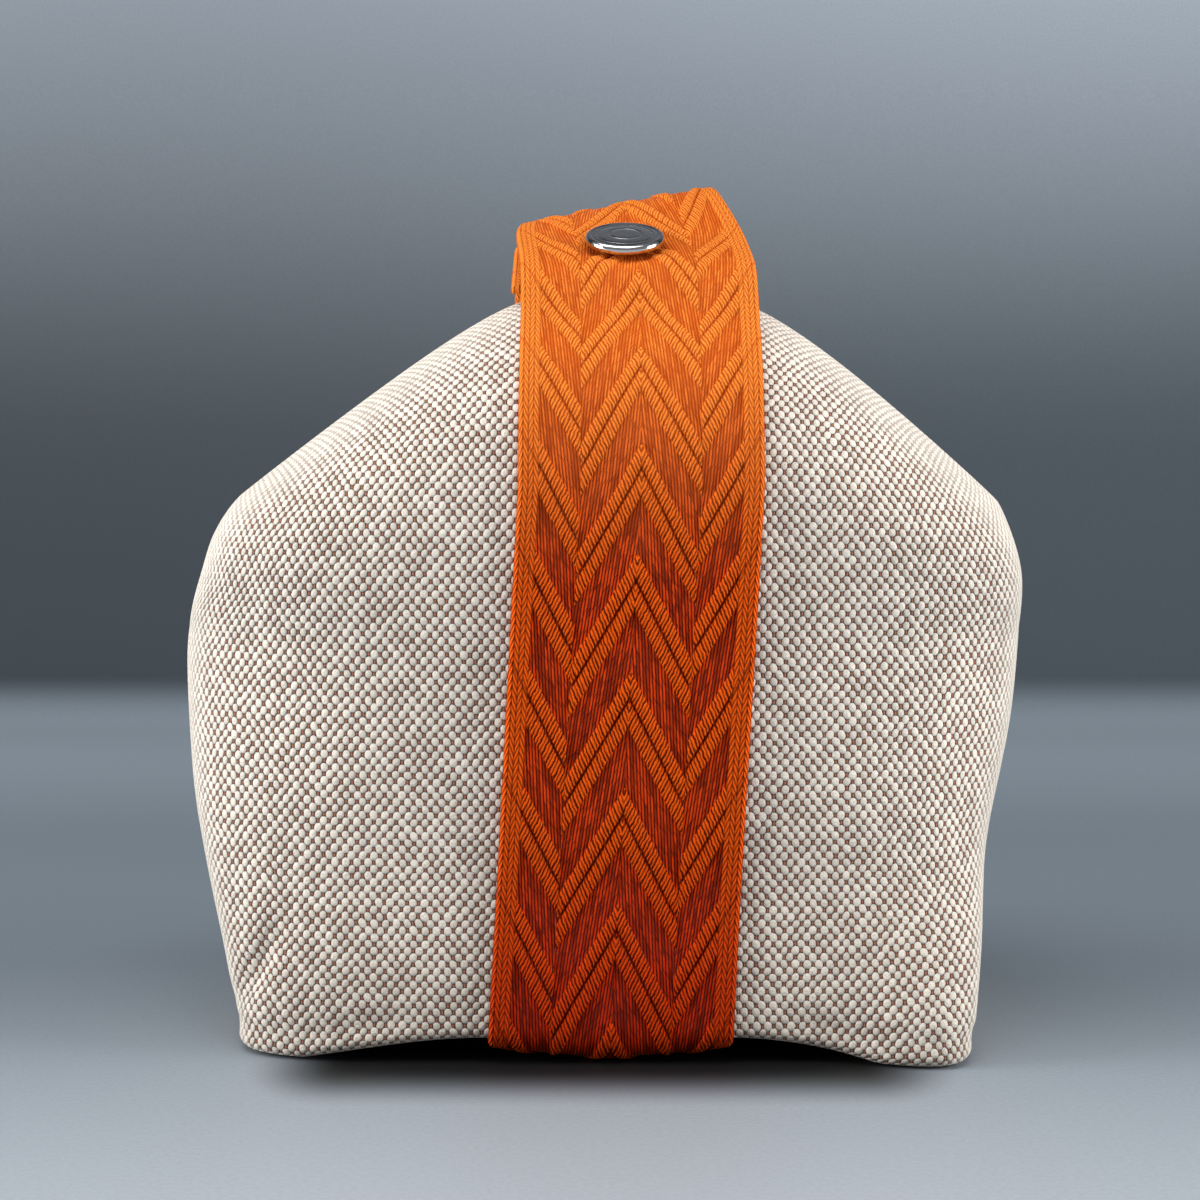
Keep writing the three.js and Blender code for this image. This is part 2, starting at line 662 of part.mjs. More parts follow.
// Snap
// Turned pieces are drawn as radius and height, from the axis round to the axis again.
function turned(outline) {
  const points = outline.map(([radius, height]) => new THREE.Vector2(radius, height));
  const lathe = new THREE.LatheGeometry(points, ROUND_SIDES).rotateX(90 * RAD);
  lathe.deleteAttribute('normal');
  lathe.deleteAttribute('uv');
  return facingOut(mergeVertices(lathe, 1e-4));
}

function snapCap() {
  const high = CAP_LOW + CAP_HEIGHT;
  const edge = CAP_RIM / 2;
  const dish = CAP_RADIUS - CAP_RIM;
  return turned([
    [0, FLAP_LOW],
    [BARREL_RADIUS, FLAP_LOW],
    [BARREL_RADIUS, CAP_LOW],
    [CAP_RADIUS - edge, CAP_LOW],
    [CAP_RADIUS, CAP_LOW + edge],
    [CAP_RADIUS, high - edge],
    [CAP_RADIUS - edge, high],
    [dish, high - CAP_GROOVE],
    [dish / 2, high - CAP_GROOVE / 2],
    [0, high - CAP_GROOVE / 4],
  ]);
}

function snapSocket() {
  const bore = STUD_RADIUS + STUD_SLACK;
  const edge = SOCKET_ROOF;
  return turned([
    [0, SOCKET_HIGH - SOCKET_ROOF],
    [bore, SOCKET_HIGH - SOCKET_ROOF],
    [bore, SOCKET_LOW],
    [SOCKET_RADIUS, SOCKET_LOW],
    [SOCKET_RADIUS, SOCKET_HIGH - edge],
    [SOCKET_RADIUS - edge, SOCKET_HIGH],
    [0, SOCKET_HIGH],
  ]);
}

function snapStud() {
  const seat = STUD_LOW + FLANGE_THICKNESS;
  const high = seat + STUD_HEIGHT;
  return turned([
    [0, STUD_LOW],
    [FLANGE_RADIUS, STUD_LOW],
    [FLANGE_RADIUS, seat],
    [STUD_RADIUS * 0.85, seat],
    [STUD_RADIUS, high - STUD_HEIGHT / 2],
    [STUD_RADIUS * 0.7, high],
    [0, high],
  ]);
}

function snapPost() {
  const high = -SEAM_GAP;
  return turned([
    [0, high - FLANGE_THICKNESS],
    [FLANGE_RADIUS, high - FLANGE_THICKNESS],
    [FLANGE_RADIUS, high],
    [BARREL_RADIUS, high],
    [BARREL_RADIUS, STRAP_THICKNESS],
    [0, STRAP_THICKNESS],
  ]);
}

// Assembly
const CANVAS_LOOK = { color: 0xe6ddcb, roughness: 0.9, metalness: 0 };
const LINING_LOOK = { color: 0xd9cdb8, roughness: 0.85, metalness: 0 };
const TAPE_LOOK = { color: 0xd8cbb2, roughness: 0.85, metalness: 0 };
const WEBBING_LOOK = { color: 0xf0681c, roughness: 0.75, metalness: 0 };
const CHROME_LOOK = { color: 0xc9ccd0, roughness: 0.15, metalness: 1 };

const bag = new THREE.Group();

function add(name, geometry, look, group = bag) {
  const mesh = new THREE.Mesh(geometry, new THREE.MeshStandardMaterial(look));
  mesh.name = name;
  group.add(mesh);
  return mesh;
}

const canvas = canvasShell();
add('canvas_front', seamHalf(canvas, -1), CANVAS_LOOK);
add('canvas_back', seamHalf(canvas, 1), CANVAS_LOOK);
const lining = liningShell();
add('lining_front', seamHalf(lining, -1), LINING_LOOK);
add('lining_back', seamHalf(lining, 1), LINING_LOOK);
add('lining_pocket', liningPocket(), LINING_LOOK);

add('zip_tape_front', zipTape(-1), TAPE_LOOK);
add('zip_tape_back', zipTape(1), TAPE_LOOK);
add('zip_teeth_front', zipTeeth(-1), CHROME_LOOK);
add('zip_teeth_back', zipTeeth(1), CHROME_LOOK);
add('zip_stop_left', zipStop(-1), CHROME_LOOK);
add('zip_stop_right', zipStop(1), CHROME_LOOK);
add('zip_tab_left', zipTab(-1), TAPE_LOOK);
add('zip_tab_right', zipTab(1), TAPE_LOOK);

// The slider is closed at the right and runs to the left, so that its own +X points down the zip.
const runner = new THREE.Group();
runner.position.set(ZIP_SHIFT, 0, ZIP_CENTRE_HEIGHT);
runner.rotation.y = SLIDER_REST_ANGLE * RAD;
bag.add(runner);
const carriage = new THREE.Group();
carriage.position.z = ZIP_RADIUS;
carriage.rotation.z = Math.PI;
runner.add(carriage);
add('zip_slider', slider(), CHROME_LOOK, carriage);
add('zip_slider_base', sliderBase(), CHROME_LOOK, carriage);
const tab = add('zip_pull', pull(), CHROME_LOOK, carriage);
tab.position.set(PIVOT_AHEAD, 0, PIVOT_HEIGHT);
tab.rotation.y = PULL_DIP * RAD;

add('strap_wrap', ribbon(wrapLine()), WEBBING_LOOK);
add('strap_flap', withBarrelHole(ribbon(flapLine()), FLAP_LOW - 1, CAP_LOW + 1), WEBBING_LOOK);
add('strap_tongue', withBarrelHole(ribbon(tongueLine()), -1, STUD_LOW + 1), WEBBING_LOOK);

const snap = snapGroup();
bag.add(snap);
add('snap_cap', snapCap(), CHROME_LOOK, snap);
add('snap_socket', snapSocket(), CHROME_LOOK, snap);
add('snap_stud', snapStud(), CHROME_LOOK, snap);
add('snap_post', snapPost(), CHROME_LOOK, snap);

// The axes that the moving pieces turn on
const flapAxis = flipped(roofPlace(FOLD_HALF_DEPTH, SEAM_GAP + STRAP_THICKNESS).place);
bag.updateMatrixWorld(true);
const pullAxis = tab.getWorldPosition(new THREE.Vector3());
console.log(`flap turns about X at y ${flapAxis.x.toFixed(3)} z ${flapAxis.y.toFixed(3)}`);
console.log(`slider turns about Y at x ${ZIP_SHIFT} z ${ZIP_CENTRE_HEIGHT}`);
console.log(`pull turns about Y at x ${pullAxis.x.toFixed(3)} z ${pullAxis.z.toFixed(3)}`);

export default bag;
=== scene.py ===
# %% [markdown]
# # A canvas vanity bag with a webbing strap
# The bag is a small soft pouch: a boxed base, a tent-shaped top with a zip along its ridge, and one
# wide strap that wraps the body and snaps shut over the top. The solid model gives every piece's
# place, and this lesson dresses it: cloth that sags, a strap with woven ribs, and polished metal.
# Lengths are written in millimetres and turned into Blender's metres where a mesh is made. The
# camera, the lamps and the shading of the paper are in metres.

# %% Load the solid model
import math

import bpy
import numpy as np
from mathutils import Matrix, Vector, noise


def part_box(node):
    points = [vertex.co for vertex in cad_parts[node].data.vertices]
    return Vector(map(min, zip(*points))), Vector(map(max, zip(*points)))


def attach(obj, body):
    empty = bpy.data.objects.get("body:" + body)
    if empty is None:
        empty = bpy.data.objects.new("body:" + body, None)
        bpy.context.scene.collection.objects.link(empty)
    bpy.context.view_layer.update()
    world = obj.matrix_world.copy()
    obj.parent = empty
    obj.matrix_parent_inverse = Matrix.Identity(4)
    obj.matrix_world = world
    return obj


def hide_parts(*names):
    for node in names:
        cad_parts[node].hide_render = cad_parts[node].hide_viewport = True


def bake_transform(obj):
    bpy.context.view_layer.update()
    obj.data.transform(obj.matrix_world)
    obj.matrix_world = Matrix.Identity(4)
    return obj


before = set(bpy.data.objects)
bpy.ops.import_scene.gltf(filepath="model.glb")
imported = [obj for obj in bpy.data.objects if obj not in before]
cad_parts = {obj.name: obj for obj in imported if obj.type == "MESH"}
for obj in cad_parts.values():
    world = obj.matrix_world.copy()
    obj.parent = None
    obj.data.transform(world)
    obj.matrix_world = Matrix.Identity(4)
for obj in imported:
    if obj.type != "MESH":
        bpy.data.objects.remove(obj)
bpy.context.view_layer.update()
MM = 0.001

# %% [markdown]
# ## Camera
# The photograph was taken from about half a metre away, a little above the middle of the bag and
# tipped slightly down. The focal length is kept in picture elements, because that is how it was
# found: from how the strap narrows towards the back. Blender wants it in millimetres of sensor.

# %% Camera
PHOTO_SIZE = 1200
FOCAL_ELEMENTS = 2599
SENSOR_WIDTH = 36
CAMERA_PLACE = (-0.0004, -0.573, 0.136)
CAMERA_TIP = 4.5

lens = bpy.data.cameras.new("photo_camera")
lens.sensor_width = SENSOR_WIDTH
lens.lens = SENSOR_WIDTH * FOCAL_ELEMENTS / PHOTO_SIZE
camera = bpy.data.objects.new("photo_camera", lens)
camera.location = CAMERA_PLACE
camera.rotation_euler = (math.radians(90 - CAMERA_TIP), 0, 0)
bpy.context.scene.collection.objects.link(camera)
bpy.context.scene.camera = camera
bpy.context.scene.view_settings.view_transform = "Standard"
print("focal length", round(lens.lens, 2), "mm")

# %% [markdown]
# ## Helpers for nodes and meshes
# A material is a graph of small nodes. Placing each by hand is long, so a desk object adds a node,
# feeds its sockets from numbers or from other nodes, and hands back its output as a wire. Arithmetic
# on wires adds the nodes for it, so a formula reads like a formula. Meshes come from arrays of points,
# with the weave's own map in millimetres of cloth, so that a thread has its real size everywhere.

# %% Node desk
def joining(operation):
    """A method that joins wires by one math node."""
    return lambda wire, *others: wire.desk.math(operation, wire, *others)


class Wire:
    """A node's output. Arithmetic on it adds more nodes."""

    __add__ = joining("ADD")
    __sub__ = joining("SUBTRACT")
    __mul__ = joining("MULTIPLY")
    __truediv__ = joining("DIVIDE")
    __pow__ = joining("POWER")
    __abs__ = joining("ABSOLUTE")

    def __init__(self, desk, socket):
        self.desk = desk
        self.socket = socket

    def __rsub__(self, other):
        return self.desk.math("SUBTRACT", other, self)


class Desk:
    """Adds nodes to one tree and joins them."""

    def __init__(self, tree):
        self.tree = tree

    def node(self, kind, **settings):
        made = self.tree.nodes.new(kind)
        for key, value in settings.items():
            setattr(made, key, value)
        return made

    def source(self, kind, label, **settings):
        return Wire(self, self.node(kind, **settings).outputs[label])

    def feed(self, socket, value):
        if isinstance(value, Wire):
            self.tree.links.new(value.socket, socket)
        else:
            socket.default_value = value

    def wire(self, made, values, out=0):
        """Feeds a node's inputs, by number or by label, and hands back one output."""
        for key, value in values.items():
            self.feed(made.inputs[key], value)
        return Wire(self, made.outputs[out])

    def math(self, operation, *values):
        return self.wire(self.node("ShaderNodeMath", operation=operation), dict(enumerate(values)))

    def wave(self, turns):
        return self.math("COSINE", turns * (2 * math.pi))

    def ease(self, value, low, high, start=0.0, end=1.0):
        made = self.node("ShaderNodeMapRange", interpolation_type="SMOOTHSTEP")
        return self.wire(made, dict(enumerate((value, low, high, start, end))))

    def mix(self, share, first, second, way="MIX"):
        made = self.node("ShaderNodeMix", data_type="RGBA", blend_type=way)
        return self.wire(made, {0: share, 6: first, 7: second}, 2)

    def shaded(self, colour, factor):
        return self.mix(1.0, colour, self.join(factor, factor, factor), "MULTIPLY")

    def noise(self, vector, scale, detail=2.0):
        values = {"Vector": vector, "Scale": scale, "Detail": detail}
        return self.wire(self.node("ShaderNodeTexNoise"), values)

    def join(self, x, y, z):
        return self.wire(self.node("ShaderNodeCombineXYZ"), {0: x, 1: y, 2: z})

    def split(self, vector):
        made = self.node("ShaderNodeSeparateXYZ")
        self.feed(made.inputs[0], vector)
        return [Wire(self, socket) for socket in made.outputs]

    def chance(self, x, y, z):
        made = self.node("ShaderNodeTexWhiteNoise", noise_dimensions="3D")
        return self.wire(made, {"Vector": self.join(x, y, z)}, "Value")

# %% Groups and materials
VECTOR = "NodeSocketVector"
COLOUR = "NodeSocketColor"
FLOAT = "NodeSocketFloat"


def wires(desk, sockets):
    return {socket.name: Wire(desk, socket) for socket in sockets}


def new_group(name, inputs, outputs):
    """Makes a node group with named sockets and hands back its desk, inputs and outputs."""
    tree = bpy.data.node_groups.new(name, "ShaderNodeTree")
    for way, sockets in (("INPUT", inputs), ("OUTPUT", outputs)):
        for label, kind in sockets.items():
            tree.interface.new_socket(name=label, in_out=way, socket_type=kind)
    desk = Desk(tree)
    given = wires(desk, desk.node("NodeGroupInput").outputs)
    return desk, given, desk.node("NodeGroupOutput").inputs


def place_group(desk, name, values):
    """Places a group in a material, with its inputs given by name."""
    made = desk.node("ShaderNodeGroup", node_tree=bpy.data.node_groups[name])
    for label, value in values.items():
        desk.feed(made.inputs[label], value)
    return wires(desk, made.outputs)


def new_material(name, finish):
    """A material with the plain values of its finish on the shader's own sockets."""
    material = bpy.data.materials.new(name)
    material.use_nodes = True
    shader = material.node_tree.nodes["Principled BSDF"].inputs
    for label, value in finish.items():
        shader[label].default_value = value
    return material, Desk(material.node_tree), shader


def cloth_map(desk):
    return desk.source("ShaderNodeUVMap", 0, uv_map="cloth")


def woven_material(name, group, depth, threads, finish):
    """A cloth with the colour and the height of a weave group, its depth in millimetres."""
    material, desk, shader = new_material(name, finish)
    weave = place_group(desk, group, {"Cloth": cloth_map(desk), **threads})
    bump = {"Strength": 1.0, "Distance": depth * MM, "Height": weave["Height"]}
    desk.feed(shader["Normal"], desk.wire(desk.node("ShaderNodeBump"), bump))
    desk.feed(shader["Base Color"], weave["Colour"])
    return material, desk, shader, weave

# %% Mesh makers
def new_piece(name, points, faces, material, cloth=None):
    """Makes a smooth mesh object from points in millimetres, with an optional cloth map."""
    mesh = bpy.data.meshes.new(name)
    mesh.from_pydata((np.asarray(points) * MM).tolist(), [], faces)
    if cloth is not None:
        corner = np.empty(len(mesh.loops), dtype=np.int32)
        mesh.loops.foreach_get("vertex_index", corner)
        layer = mesh.uv_layers.new(name="cloth")
        layer.data.foreach_set("uv", cloth[corner].astype(np.float32).ravel())
    mesh.materials.append(material)
    mesh.polygons.foreach_set("use_smooth", [True] * len(mesh.polygons))
    mesh.update()
    piece = bpy.data.objects.new(name, mesh)
    bpy.context.scene.collection.objects.link(piece)
    return piece


def grid_faces(rows, columns, flip=False):
    faces = []
    for row in range(rows - 1):
        for column in range(columns - 1):
            a = row * columns + column
            face = (a, a + 1, a + columns + 1, a + columns)
            faces.append(face[::-1] if flip else face)
    return faces


def grid_piece(name, points, material, cloth, flip=False):
    """A mesh from a grid of points, with a map of the same grid."""
    faces = grid_faces(*points.shape[:2], flip)
    return new_piece(name, points.reshape(-1, 3), faces, material, cloth.reshape(-1, 2))


def thicken(piece, thickness, offset):
    thick = piece.modifiers.new("cloth thickness", "SOLIDIFY")
    thick.thickness = thickness * MM
    thick.offset = offset
    return thick


def stand_in(piece, body, slot, *nodes):
    """The piece moves with a body and stands for solids of the model, which it hides. The slot is not used.
    """
    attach(piece, body)
    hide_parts(*nodes)


# %% [markdown]
# ## Stage and light
# The bag stands on a grey paper sweep that curves up behind it. Its grey changes from place to place with
# painted light and shade: painted shade where the paper starts to rise, so that it is darkest there,
# lighter tones near the front of the floor and high on the wall, the wall painted brighter to the right and
# darker again high up where it is unseen, and a painted contact shadow round the bag's base, where the bag
# keeps the light off it. One big soft lamp hangs over the bag, and two stand low at its sides, so that the
# roof and the edges are bright and the front falls into soft shade.

# %% Sweep
SWEEP_FRONT = -1500
SWEEP_START = 470
SWEEP_RADIUS = 300
SWEEP_TOP = 2200
SWEEP_HALF_WIDTH = 2600
SWEEP_STEPS = 16

path = [(SWEEP_FRONT, 0.0), (SWEEP_FRONT / 2, 0.0), (0.0, 0.0)]
for step in range(SWEEP_STEPS + 1):
    turn = math.radians(90 * step / SWEEP_STEPS)
    path.append((SWEEP_START + SWEEP_RADIUS * math.sin(turn), SWEEP_RADIUS * (1 - math.cos(turn))))
path.append((SWEEP_START + SWEEP_RADIUS, SWEEP_TOP))
sweep_points = [(x, y, z) for y, z in path for x in (-SWEEP_HALF_WIDTH, SWEEP_HALF_WIDTH)]

# %% Paper
FLOOR_NEAR = (0.41, 0.45, 0.495, 1)
FLOOR_MIDDLE = (0.153, 0.184, 0.214, 1)
FLOOR_FAR = (0.225, 0.268, 0.309, 1)
WALL_LOW = (0.045, 0.056, 0.067, 1)
WALL_HIGH = (0.265, 0.3, 0.342, 1)
WALL_UNSEEN = (0.11, 0.115, 0.125, 1)
SHADE_HALF_WIDTH = 0.052
SHADE_HALF_DEPTH = 0.055
SHADE_REACH = 0.03
SHADE_POWER = 1.3
SHADE_DARKEST = 0.012

paper, desk, shader = new_material("grey_paper", {"Roughness": 0.55, "Specular IOR Level": 0.25})
place = desk.source("ShaderNodeNewGeometry", "Position")
side, depth, height = desk.split(place)
# Painted light and shade on the paper: its tones change with depth and height, and the wall is painted
# brighter to the right.
ground = desk.mix(desk.ease(depth, -0.22, 0.06), FLOOR_NEAR, FLOOR_MIDDLE)
ground = desk.mix(desk.ease(depth, 0.2, 0.42), ground, FLOOR_FAR)
wall = desk.mix(desk.ease(height, 0.1, 0.42), WALL_LOW, WALL_HIGH)
wall = desk.mix(desk.ease(height, 0.5, 0.62), wall, WALL_UNSEEN)
wall = desk.shaded(wall, desk.ease(side, -0.3, 0.3, 0.97, 1.32))
# Painted contact shadow: the paper darkens close round the bag's base.
beside = desk.math("MAXIMUM", abs(side) - SHADE_HALF_WIDTH, 0.0)
before = desk.math("MAXIMUM", abs(depth) - SHADE_HALF_DEPTH, 0.0)
away = desk.math("SQRT", beside * beside * 2.0 + before * before)
nearness = desk.math("MINIMUM", away / SHADE_REACH, 1.0)
painted_contact_shadow = desk.ease(nearness**SHADE_POWER, 0.0, 1.0, SHADE_DARKEST, 1.0)
tone = desk.mix(desk.ease(height, 0.0, 0.014), desk.shaded(ground, painted_contact_shadow), wall)
grain = desk.ease(desk.noise(place, 900.0), 0.3, 0.7, 0.96, 1.04)
desk.feed(shader["Base Color"], desk.shaded(tone, grain))
sweep = new_piece("paper_sweep", sweep_points, grid_faces(len(path), 2), paper)

# %% Lamps
BAG_MIDDLE = (0, 0, 0.08)
OVER_SIZE = (1.1, 0.8)
SIDE_SIZE = (0.5, 0.9)
ROOM_COLOUR = (0.68, 0.68, 0.69, 1)
ROOM_STRENGTH = 0.34


def soft_lamp(name, place, size, power):
    data = bpy.data.lights.new(name, "AREA")
    data.shape = "RECTANGLE"
    data.size, data.size_y = size
    data.energy = power
    lamp = bpy.data.objects.new(name, data)
    lamp.location = place
    way = Vector(BAG_MIDDLE) - Vector(place)
    lamp.rotation_euler = way.to_track_quat("-Z", "Y").to_euler()
    bpy.context.scene.collection.objects.link(lamp)


soft_lamp("lamp_over", (-0.15, -0.3, 1.12), OVER_SIZE, 9.8)
soft_lamp("lamp_left", (-1.0, -0.2, 0.18), SIDE_SIZE, 15.0)
soft_lamp("lamp_right", (1.0, -0.2, 0.18), SIDE_SIZE, 14.6)

world = bpy.data.worlds.new("room")
world.use_nodes = True
room = world.node_tree.nodes["Background"]
room.inputs["Color"].default_value = ROOM_COLOUR
room.inputs["Strength"].default_value = ROOM_STRENGTH
bpy.context.scene.world = world

# %% [markdown]
# ## Basket-weave canvas
# The cloth is a two-colour canvas: thick off-white weft lies in oval nubs over a brown warp, offset
# like the fields of a chessboard. It could be modelled thread by thread, but there are tens of
# thousands of nubs. A node group finds the nearest nub of the chessboard for every place on the cloth,
# rounds it into a dome with its own size and lean by chance, and leaves the paired warp between.

# %% Canvas weave group
NUB_POWER = 2.4

desk, given, out = new_group(
    "basket_weave",
    {"Cloth": VECTOR, "Across": FLOAT, "Along": FLOAT, "Nub": COLOUR, "Ground": COLOUR},
    {"Colour": COLOUR, "Height": FLOAT},
)
u, v, _ = desk.split(given["Cloth"])
wander = (desk.noise(given["Cloth"], 0.12) - 0.5) * 0.9
x = u / given["Across"] + wander
y = v / given["Along"] - wander * 0.7
first = desk.math("ROUND", (x + y) * 0.5)
second = desk.math("ROUND", (x - y) * 0.5)
luck = desk.chance(first, second, 0.5)
turn = (desk.chance(first, second, 9.5) - 0.5) * 0.4
from_x = x - (first + second)
from_y = y - first + second
skewed = from_x + from_y * turn
far = (abs(skewed) ** NUB_POWER + abs(from_y) ** NUB_POWER) * desk.ease(luck, 0.0, 1.0, 2.8, 2.1)
cotton = desk.noise(given["Cloth"], 2.1, 4.0) - 0.5
far = far + cotton * 1.1 * desk.math("MINIMUM", far, 1.0)
nub = desk.ease(far, 0.82, 1.06, 1.0, 0.0)
dome = desk.math("SQRT", desk.math("MAXIMUM", 1.0 - far, 0.0))

# %% Canvas weave colour and height
fibre = desk.wave(from_x * 3.4 + from_y * 2.2 + luck)
pair = desk.wave(x * 2.0)
# Painted shade: each nub is darker towards its rim, and the brown ground is darker next to the nubs and
# between its paired threads.
lit = desk.ease(luck, 0.0, 1.0, 0.9, 1.06) * desk.ease(dome, 0.0, 0.65, 0.6, 1.0)
lit = lit * desk.ease(cotton, -0.25, 0.2, 0.82, 1.05)
low = desk.ease(far, 0.95, 1.7, 0.3, 1.15) * desk.ease(pair, -0.9, 0.2, 0.45, 1.0)
colour = desk.mix(nub, desk.shaded(given["Ground"], low), desk.shaded(given["Nub"], lit))
cloud = desk.ease(desk.noise(given["Cloth"], 0.035, 3.0), 0.3, 0.7, 0.95, 1.04)
desk.feed(out["Colour"], desk.shaded(colour, cloud))
top = dome + fibre * 0.03 + cotton * 0.5 + 0.1
threads = pair * 0.1 + 0.15
desk.feed(out["Height"], top * nub + threads * (1.0 - nub))

# %% [markdown]
# ## Cloth materials
# The canvas, the lining and the zip tape share the weave group with their own thread sizes. The canvas has
# two things more. Seen at a slant, its nubs hide the brown ground, and towards the base it has painted
# shade that darkens it the lower it is. Its map counts heights from the shoulder, so the wall's heights are
# negative.

# %% Canvas, lining and tape
NUB_COLOUR = (0.87, 0.795, 0.695, 1)
CANVAS_FINISH = {
    "Roughness": 0.92,
    "Specular IOR Level": 0.2,
    "Sheen Weight": 0.35,
    "Sheen Roughness": 0.4,
    "Sheen Tint": (1.0, 0.95, 0.88, 1),
}
LOW_SHADE_BOTTOM = -88.0
LOW_SHADE_TOP = -30.0
LOW_SHADE_FACTOR = 0.83

canvas_cloth, desk, shader, weave = woven_material(
    "basket_canvas",
    "basket_weave",
    0.5,
    {"Across": 1.17, "Along": 1.38, "Nub": NUB_COLOUR, "Ground": (0.33, 0.14, 0.085, 1)},
    CANVAS_FINISH,
)
covered = desk.ease(desk.source("ShaderNodeLayerWeight", "Facing"), 0.4, 0.95, 0.0, 0.75)
_, height, _ = desk.split(cloth_map(desk))
# Painted shade: the canvas is darker the nearer it is to the base.
shaded_low = desk.shaded(weave["Colour"], desk.ease(height, LOW_SHADE_BOTTOM, LOW_SHADE_TOP, LOW_SHADE_FACTOR, 1.0))
desk.feed(shader["Base Color"], desk.mix(covered, shaded_low, NUB_COLOUR))
lining_cloth = woven_material(
    "cotton_lining",
    "basket_weave",
    0.08,
    {"Across": 0.32, "Along": 0.34, "Nub": (0.62, 0.56, 0.45, 1), "Ground": (0.50, 0.44, 0.34, 1)},
    {"Roughness": 0.85, "Sheen Weight": 0.1},
)[0]
tape_cloth = woven_material(
    "zip_tape_cloth",
    "basket_weave",
    0.12,
    {"Across": 0.5, "Along": 0.28, "Nub": (0.60, 0.53, 0.41, 1), "Ground": (0.42, 0.36, 0.27, 1)},
    {"Roughness": 0.8},
)[0]

# %% [markdown]
# ## The bag's form
# The body could be sculpted by hand, but then nothing would tie it to the solid model. It is lofted
# instead from the same rules as the solid: a plan outline for every height, square at the base and
# rounder at the shoulders, and a roof that closes on a ridge line with a flat middle and sloping
# ends. Each half is a grid whose columns are spaced evenly along the cloth. The running lengths also
# give the cloth map, so that threads stay level and upright, as they do in the photograph.

# %% Form sizes
# A plan is a half width, a half depth and a squareness. A plural pair is for left and right. Most other
# pairs say where a change starts and where it is complete.
BASE_PLAN = np.array([74.5, 46.0, 9.0])
SHOULDER_PLAN = np.array([91.0, 47.0, 2.7])
RIDGE_PLAN = np.array([87.0, 9.5, 4.0])
BASE_ROUNDING = 2.2
SHOULDER_HEIGHT = 86.0
PEAK_HEIGHT = 158.0
CREST_SHIFT = 6.0
CREST_HALF_FLAT = 14.0
CREST_SLOPES = (0.79, 0.95)
CREST_ROUNDINGS = (14.0, 22.0)
LEFT_END_DROP = 4.0
LEFT_END_REACH = (78, 90)
ROOF_RISE_POWER = 4.0
ROOF_INWARD_POWER = 0.75
END_ROUNDING = 3.0
STRAP_WIDTH = 50.0
STRAP_THICKNESS = 2.0
STRAP_BOW = 2.6
STRAP_BASE_SHIFT = 1.5
ARCH_REACHES = (38.0, 30.0)
SEAM_GAP = 0.3
CORNER_FLARE = 1.5
CORNER_FLARE_REACH = 14.0
OUTLINE_SAMPLES = 801
OUTLINE_CROWDING = 1.6
CORNER_ROWS = 6


# %% Form rules
def smooth(value, low, high):
    share = np.clip((value - low) / (high - low), 0.0, 1.0)
    return share * share * (3 - 2 * share)


def bell(value, middle, reach):
    return np.exp(-(((value - middle) / reach) ** 2))


def crest_height(x):
    beyond = np.maximum(0, np.abs(x - CREST_SHIFT) - CREST_HALF_FLAT)
    slope = np.where(x < CREST_SHIFT, *CREST_SLOPES)
    rounding = np.where(x < CREST_SHIFT, *CREST_ROUNDINGS)
    end_drop = LEFT_END_DROP * smooth(-np.asarray(x), *LEFT_END_REACH)
    return PEAK_HEIGHT - (np.hypot(slope * beyond, rounding) - rounding) - end_drop


def base_height(x):
    """The base rides over the bowed strap and sinks to the ground at its corners."""
    off = np.abs(x - STRAP_BASE_SHIFT)
    half = STRAP_WIDTH / 2
    over_strap = STRAP_THICKNESS + SEAM_GAP + STRAP_BOW * (np.minimum(off, half) / half) ** 2
    reach = np.where(x < STRAP_BASE_SHIFT, *ARCH_REACHES)
    fall = np.cos(np.clip((off - half) / reach, 0, 1) * math.pi / 2)
    return over_strap * fall + SEAM_GAP * (1 - fall)


def wall_plan(height):
    swell = math.sin(min(1.0, height / SHOULDER_HEIGHT) * math.pi / 2)
    flare = CORNER_FLARE * bell(height, 0, CORNER_FLARE_REACH)
    return BASE_PLAN + (SHOULDER_PLAN - BASE_PLAN) * swell + (flare, 0, 0)


def roof_plan(rise):
    inward = (1 - rise**ROOF_RISE_POWER) ** ROOF_INWARD_POWER
    return SHOULDER_PLAN + (RIDGE_PLAN - SHOULDER_PLAN) * (rise**END_ROUNDING, 1 - inward, rise)


def half_outline(width, depth, square, inset):
    """The front half of a plan outline, from the left seam round to the right one."""
    turn = np.linspace(-1, 1, OUTLINE_SAMPLES)
    turn = np.sign(turn) * np.abs(turn) ** OUTLINE_CROWDING * math.pi / 2
    s, c = np.sin(turn), np.cos(turn)
    x = np.sign(s) * np.abs(s) ** (2 / square) * (width - inset)
    y = -np.abs(c) ** (2 / square) * (depth - inset)
    return x, y


# %% Half of the body
def evenly(x, y, z, columns):
    """Points spaced evenly along an outline, each side of its middle by itself, and their lengths."""
    step = np.hypot(np.hypot(np.diff(x), np.diff(y)), np.diff(z))
    run = np.concatenate([[0], np.cumsum(step)])
    run -= run[len(run) // 2]
    share = np.linspace(-1, 1, columns)
    wanted = np.where(share < 0, -share * run[0], share * run[-1])
    return [np.interp(wanted, run, line) for line in (x, y, z)] + [wanted]


def wall_height(x, height, inset):
    return height + (base_height(x) + inset) * (1 - height / SHOULDER_HEIGHT)


def wall_climb(corner_rows, wall_rows):
    """Heights up the rolled edge of the base and the wall, with how far the edge draws in."""
    turns = np.linspace(0, math.pi / 2, corner_rows, endpoint=False)
    edge = [(BASE_ROUNDING * (1 - math.cos(turn)), BASE_ROUNDING * (1 - math.sin(turn))) for turn in turns]
    return edge + [(height, 0) for height in np.linspace(BASE_ROUNDING, SHOULDER_HEIGHT, wall_rows)]


